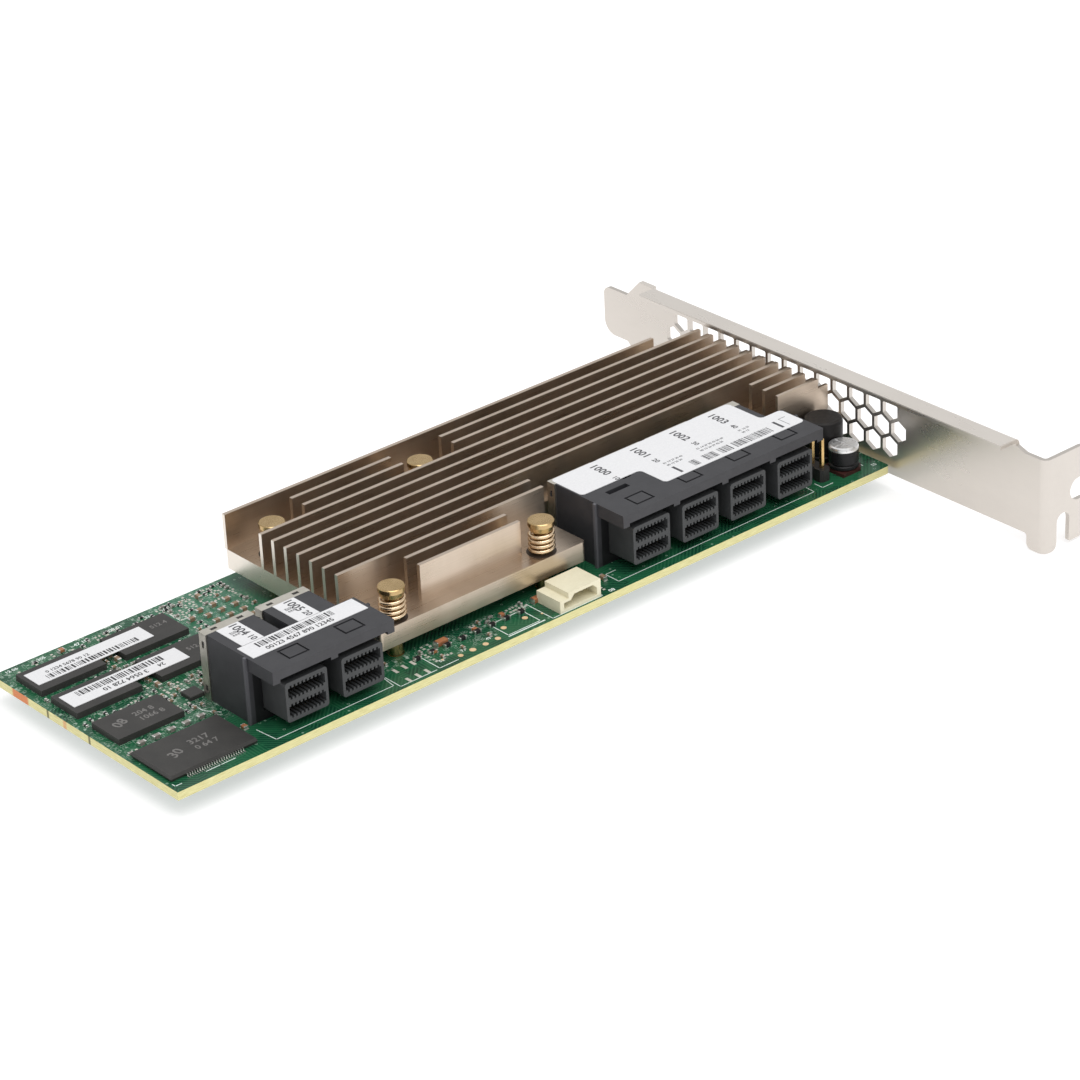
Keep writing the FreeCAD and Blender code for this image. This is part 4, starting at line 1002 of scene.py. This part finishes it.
@dataclass
class Labels:
    """Print on the white labels: bars and plain numbers."""

    palette: Palette
    label_top: float = 13.1
    memory_top: float = 1.3
    port_pitch: float = 9.85
    first_port: float = 109.2
    number_columns: Pair = (26.2, 38.0)
    small_rows: Rows = ((119.7, 9), (128.0, 12), (138.6, 5))
    # Small print: first baseline, step between lines, height
    small_print: Triple = (10.5, 1.05, 0.55)
    bar_spans: Rows = (
        (123.4, 125.0), (126.6, 129.8), (130.4, 133.2), (134.0, 137.0), (137.4, 143.4),
    )
    bar_reach: Pair = (7.0, 9.2)
    thick_bars: Rows = ((119.7, 6.9, 120.3, 9.7), (145.3, 6.9, 145.9, 9.9))
    corner: Rows = ((147.2, 7.0), (147.2, 10.0), (148.8, 10.0))

    def build(self) -> list[Piece]:
        """The print of every label, one piece for each kind."""
        pen = Print(self.palette)
        return [self.memory(pen), self.dual(pen), self.numbers(pen), self.quad(pen)]

    def memory(self, pen: Print) -> Piece:
        """Bars and a line of digits on both long labels, the lower ones upside down."""
        upper = Rect.of_node("memory_label_upper", 0.0)
        lower = Rect.of_node("memory_label_lower", 0.0)
        top = self.memory_top
        bars = pen.barcode(Rect(upper.x0 + 2.6, upper.y0 + 0.55, upper.x1 - 2.2, upper.y0 + 2.0),
                           top, 3, 0.22)
        bars.append(pen.digits("0 1234 5678 90 12", upper.x0 + 3.4, upper.y0 + 2.5, top, 0.85))
        bars += pen.barcode(Rect(lower.x0 + 2.8, lower.y0 + 2.5, lower.x1 - 3.6, lower.y1 - 0.5),
                            top, 4, 0.22)
        for text, inset, height in (("3 0564 728 10", 8.0, 1.15), ("24", 4.4, 1.0)):
            bars.append(pen.digits(text, lower.x1 - inset, lower.y0 + 1.9, top, height, 180.0))
        return pen.finish(bars, "print_memory_labels", "print_black")

    def dual(self, pen: Print) -> Piece:
        """Bars and a line of digits on the label across the two ports."""
        area = Rect.of_node("dual_port_label", 0.0)
        bars = pen.barcode(Rect(area.x0 + 3.0, area.y0 + 2.3, area.x1 - 5.2, area.y1 - 0.6),
                           self.label_top, 9, 0.2)
        bars.append(pen.digits("00123 4567 890 12345", area.x0 + 3.6, area.y0 + 0.7,
                               self.label_top, 1.1))
        return pen.finish(bars, "print_dual_label", "print_black")

    def numbers(self, pen: Print) -> Piece:
        """Port numbers on the two short labels, read from the port side."""
        rows = []
        for index, x in enumerate(self.number_columns):
            rows.append(("100%d" % (index + 4), x, 19.9, 1.7))
            rows.append(("%d0" % (index + 1), x + 0.2, 14.6, 1.3))
            rows += [("%d%d2 40" % (row, index + 5), x - 1.35 + row * 0.5, 17.6, 0.42)
                     for row in range(3)]
        pieces = [pen.digits(text, x, y, self.label_top, height, -90.0)
                  for text, x, y, height in rows]
        return pen.finish(pieces, "print_number_labels", "print_grey")

    def quad(self, pen: Print) -> Piece:
        """Port numbers across the label, with bars and lines of digits along its front."""
        top = self.label_top
        pieces = []
        for index in range(4):
            x = self.first_port + self.port_pitch * index
            pieces.append(pen.digits("100%d" % index, x, 20.7, top, 1.75, -90.0))
            pieces.append(pen.digits("%d0" % (index + 1), x + 0.1, 14.5, top, 1.1, -90.0))
        first, step, height = self.small_print
        for start, count in self.small_rows:
            for row in range(2):
                pairs = ["%d%d" % (k % 10, (k * 3 + row) % 10) for k in range(count // 2 + row)]
                pieces.append(pen.digits(" ".join(pairs), start, first + row * step, top, height))
        front, back = self.bar_reach
        for number, (left, right) in enumerate(self.bar_spans):
            pieces += pen.barcode(Rect(left, front, right, back), top, 20 + number)
        pieces += [pen.strip(*bar, top) for bar in self.thick_bars]
        pieces += pen.line(self.corner, top, 0.12)
        return pen.finish(pieces, "print_quad_label", "print_grey")


@dataclass
class ChipMarks:
    """Faint plain numbers on the chips."""

    palette: Palette
    memory_top: float = 1.2
    flash_top: float = 1.1
    # Text, place, height and turn of each line of digits
    on_memory: Rows = (
        ("08", 4.2, 22.2, 2.0, 20.0), ("204 8", 8.4, 23.6, 1.3, 0.0),
        ("1066 8", 8.4, 21.6, 1.3, 0.0), ("512 4", 28.4, 46.6, 1.1, 0.0),
        ("512 4", 28.4, 35.6, 1.1, 0.0),
    )
    on_flash: Rows = (
        ("30", 5.2, 7.6, 2.0, 20.0), ("3217", 9.6, 9.4, 1.5, 0.0), ("0 64 7", 9.6, 7.3, 1.3, 0.0),
    )

    def build(self) -> list[Piece]:
        """All marks as one piece."""
        pen = Print(self.palette)
        pieces = [pen.digits(text, x, y, top, height, turn)
                  for rows, top in ((self.on_memory, self.memory_top),
                                    (self.on_flash, self.flash_top))
                  for text, x, y, height, turn in rows]
        return [pen.finish(pieces, "chip_marks", "laser_grey")]


@dataclass
class Silk:
    """White outlines, corner marks and numbers printed on the board."""

    palette: Palette
    outlines: Rows = (
        ((21.5, 6.9), (22.0, 2.05), (47.3, 2.05), (47.75, 5.8)),
        ((48.0, 5.2), (48.0, 0.95), (56.0, 0.95)),
        ((56.8, 7.3), (56.8, 1.1), (61.0, 1.1)),
        ((72.8, 1.5), (72.8, 6.7), (80.2, 6.7), (80.2, 1.5), (72.8, 1.5)),
        ((72.6, 1.05), (80.8, 1.05)),
        ((82.3, 7.7), (82.3, 0.5), (94.1, 0.5), (94.1, 7.7)),
        ((102.1, 6.0), (99.7, 6.0), (99.7, 2.4), (148.9, 2.4), (149.1, 4.7)),
        ((151.3, 4.6), (151.25, 2.5), (153.9, 2.5)),
        ((163.0, 3.6), (163.0, 6.9), (161.6, 8.3)),
        ((0.9, 2.7), (0.9, 1.9), (2.2, 1.9)),
        ((7.4, 2.1), (10.4, 2.1), (13.4, 2.1)),
        ((35.0, 50.6), (35.0, 47.2), (37.0, 47.2)),
        ((20.8, 16.0), (18.9, 18.6), (18.9, 21.6)),
    )
    numbers: Rows = (
        ("12 06", 2.0, 53.4, 0.8), ("305", 8.6, 53.2, 0.8), ("47 10", 16.2, 52.9, 0.9),
        ("208 01", 23.0, 52.8, 0.9), ("33", 31.0, 52.2, 0.8), ("16", 34.6, 52.4, 0.8),
        ("24", 16.4, 26.8, 0.75), ("85", 20.2, 26.4, 0.75), ("61", 35.2, 22.6, 0.75),
        ("90", 47.2, 33.0, 0.75), ("17", 46.4, 26.5, 0.75), ("52", 58.2, 2.6, 0.7),
        ("71", 63.2, 2.7, 0.7), ("43", 69.0, 2.8, 0.7), ("08", 96.0, 0.5, 0.9),
        ("30", 95.6, 4.4, 0.9), ("11", 81.0, 7.0, 0.6), ("55", 164.2, 2.0, 0.8),
    )
    bold: float = 0.3
    thin: float = 0.17

    def build(self) -> list[Piece]:
        """All print on the board as one piece. A line of two points is bold."""
        pen = Print(self.palette)
        strokes = []
        for outline in self.outlines:
            width = self.bold if len(outline) == 2 else self.thin
            strokes += pen.line(outline, 0.0, width)
        for text, x, y, height in self.numbers:
            strokes.append(pen.digits(text, x, y, 0.0, height))
        return [pen.finish(strokes, "silk_print", "silk_white")]


@dataclass
class TestPads:
    """Round and long bare pads in front of the heat sink and beside the two-port connector."""

    palette: Palette
    rounds: Rows = (
        (62.2, 1.9, 0.5), (65.0, 1.95, 0.62), (67.9, 1.9, 0.55), (70.7, 1.9, 0.55),
        (82.1, 3.2, 0.25), (59.0, 3.0, 0.25),
    )
    bare_footprint: Rows = ((73.9, 4.1, 0.55), (78.9, 4.15, 0.55))
    longs: Rows = (
        (50.65, 5.7), (52.7, 5.75), (54.6, 5.8), (50.4, 1.75), (52.5, 1.75), (54.6, 1.8),
    )
    long_half: Pair = (0.3, 0.75)
    low: float = 0.002
    high: float = 0.035
    disc_middle: float = 0.016

    def build(self) -> list[Piece]:
        """Test pads, the bare footprint in place of the crystal, and the long pads."""
        metal = self.palette["pad_gold"]
        gold = fit(paint(discs(self.rounds, self.disc_middle, "gold_test_pads"), metal))
        bare = paint(discs(self.bare_footprint, self.disc_middle, "bare_footprint_pads"), metal)
        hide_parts("crystal")
        half_x, half_y = self.long_half
        bars = [block("long_pad", (x - half_x, y - half_y, self.low),
                      (x + half_x, y + half_y, self.high)) for x, y in self.longs]
        return [gold, fit(bare), fit(paint(join(bars, "long_pads"), self.palette["pad_pale"]))]


@dataclass
class Springs:
    """Round-wire coil springs in place of the stepped ones of the frame."""

    palette: Palette
    low: float = 7.26
    high: float = 11.14
    radius: float = 2.15
    wire: float = 0.355
    turns: int = 4
    steps: int = 28
    # Painted shadow discs round the spring feet: radius, shift towards the back, and height of their
    # middle
    shadow_radius: float = 2.75
    recess_shift: float = 0.2
    shadow_middle: float = 6.917

    def model(self) -> Piece:
        """Spins a small ring of wire up a screw."""
        bpy.ops.object.select_all(action="DESELECT")
        bpy.ops.mesh.primitive_circle_add(vertices=10, radius=self.wire * MM, fill_type="NOTHING",
                                          location=(self.radius * MM, 0, self.low * MM),
                                          rotation=(math.pi / 2, 0, 0))
        made = bpy.context.active_object
        settle()
        screw = made.modifiers.new("coil", "SCREW")
        screw.axis = "Z"
        screw.angle = 2 * math.pi
        screw.iterations = self.turns
        screw.screw_offset = (self.high - self.low) / self.turns * MM
        screw.steps = self.steps
        screw.render_steps = self.steps
        screw.use_smooth_shade = True
        select_only(made)
        bpy.ops.object.modifier_apply(modifier=screw.name)
        bpy.ops.object.mode_set(mode="EDIT")
        bpy.ops.mesh.select_all(action="SELECT")
        bpy.ops.mesh.remove_doubles(threshold=0.001 * MM)
        bpy.ops.mesh.select_all(action="DESELECT")
        bpy.ops.mesh.select_non_manifold()
        bpy.ops.mesh.fill_holes(sides=0)
        bpy.ops.mesh.select_all(action="SELECT")
        bpy.ops.mesh.normals_make_consistent(inside=False)
        bpy.ops.object.mode_set(mode="OBJECT")
        return made

    def build(self) -> list[Piece]:
        """Four coils and the painted shadow discs round their feet."""
        first = self.model()
        coils = [copy_to(first, shift(x, y)) for x, y in PIN_CENTRES]
        remove(first)
        made = paint(join(coils, "coil_springs"), self.palette["spring_wire"])
        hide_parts("pin_springs")
        return [fit(made), fit(self.shadow_discs())]

    def shadow_discs(self) -> Piece:
        """Painted shadow: dark thin discs on the heat sink round the foot of each spring."""
        rows = [(x, y + self.recess_shift, self.shadow_radius) for x, y in PIN_CENTRES]
        return paint(discs(rows, self.shadow_middle, "spring_recesses", 40),
                     self.palette["painted_shadow_brown"])


@dataclass
class CarriedNodes:
    """Finishes for the nodes of the frame that stay visible."""

    palette: Palette

    def dress(self) -> None:
        """Gives every node its finish."""
        for finish, names in NODES_OF_FINISH.items():
            for name in names.split():
                paint(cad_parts[name], self.palette[finish])


@dataclass
class Studio:
    """White room with a soft light, a pale floor and the camera of the photograph."""

    # Camera: eye in millimetres, lens, and its right, up and back directions
    eye: Triple = (-286.91, -441.56, 318.26)
    lens: float = 124.15
    sensor: float = 36.0
    axes: Rows = (
        (0.7541756, -0.6552962, -0.0424967),
        (0.3336719, 0.3266742, 0.8842777),
        (-0.5655813, -0.6810807, 0.4650236),
    )
    # Floor: height in millimetres, the rest in metres
    lowest: float = -5.67
    floor_size: float = 6.0
    floor_centre: Pair = (0.08, 0.03)
    floor_tones: tuple[Triple, Triple] = ((0.60, 0.59, 0.59), (0.62, 0.61, 0.61))
    floor_glow: float = 0.54
    # Room: brightness that lights the card
    room_level: float = 0.7
    # Light, in metres and watts
    key_place: Triple = (0.0, -0.40, 1.12)
    key_aim: Triple = (0.085, 0.02, 0.0)
    key_size: float = 1.15
    key_power: float = 9.9

    def floor(self) -> None:
        """Wide pale floor that takes the card's shadow."""
        bpy.ops.object.select_all(action="DESELECT")
        bpy.ops.mesh.primitive_plane_add(size=self.floor_size,
                                         location=(*self.floor_centre, self.lowest * MM))
        made = bpy.context.active_object
        made.name = "floor"
        g = Graph("floor_white")
        speck = g.noise(g.coords(), 0.02, 2.0)
        paint(made, g.finish(Base_Color=g.mix(speck, *self.floor_tones), Roughness=0.9,
                             Emission_Color=(1.0, 1.0, 1.0), Emission_Strength=self.floor_glow))

    def world(self) -> None:
        """White room, pure white where the camera sees it."""
        world = bpy.data.worlds.new("room")
        bpy.context.scene.world = world
        g = Graph("room", world, "BACKGROUND")
        seen = g.value("LightPath", output="Is Camera Ray")
        g.finish(Color=(1.0, 1.0, 1.0), Strength=g.ramp(seen, 0.0, 1.0, (self.room_level, 1.0)))

    def light(self) -> None:
        """Large soft light above the card, a little in front of it."""
        lamp = bpy.data.lights.new("key_above", "AREA")
        lamp.shape = "SQUARE"
        lamp.size = self.key_size
        lamp.energy = self.key_power
        made = bpy.data.objects.new("key_above", lamp)
        bpy.context.collection.objects.link(made)
        made.location = self.key_place
        aim = Vector(self.key_aim) - made.location
        made.rotation_euler = aim.to_track_quat("-Z", "Y").to_euler()

    def camera(self) -> None:
        """Camera at the photograph's place."""
        data = bpy.data.cameras.new("photo_camera")
        data.lens = self.lens
        data.sensor_width = self.sensor
        data.clip_start = 0.01
        data.clip_end = 20.0
        made = bpy.data.objects.new("photo_camera", data)
        bpy.context.collection.objects.link(made)
        turn = Matrix(self.axes).transposed().to_4x4()
        made.matrix_world = shift(*self.eye) @ turn
        bpy.context.scene.camera = made

    def build(self) -> None:
        """Sets up the room, floor, light and camera."""
        bpy.context.scene.view_settings.view_transform = "Standard"
        self.world()
        self.floor()
        self.light()
        self.camera()


def main() -> None:
    """Builds every piece in order and reports what was made."""
    logging.basicConfig(level=logging.INFO, format="%(message)s")
    palette = Palette()
    CarriedNodes(palette).dress()
    for builder in (Springs, NamedParts, SmallParts, TestPads, Silk, Labels, ChipMarks):
        made = builder(palette).build()
        LOG.info("%s: %d pieces", builder.__name__, len(made))
    Studio().build()


if __name__ == "__main__":
    main()
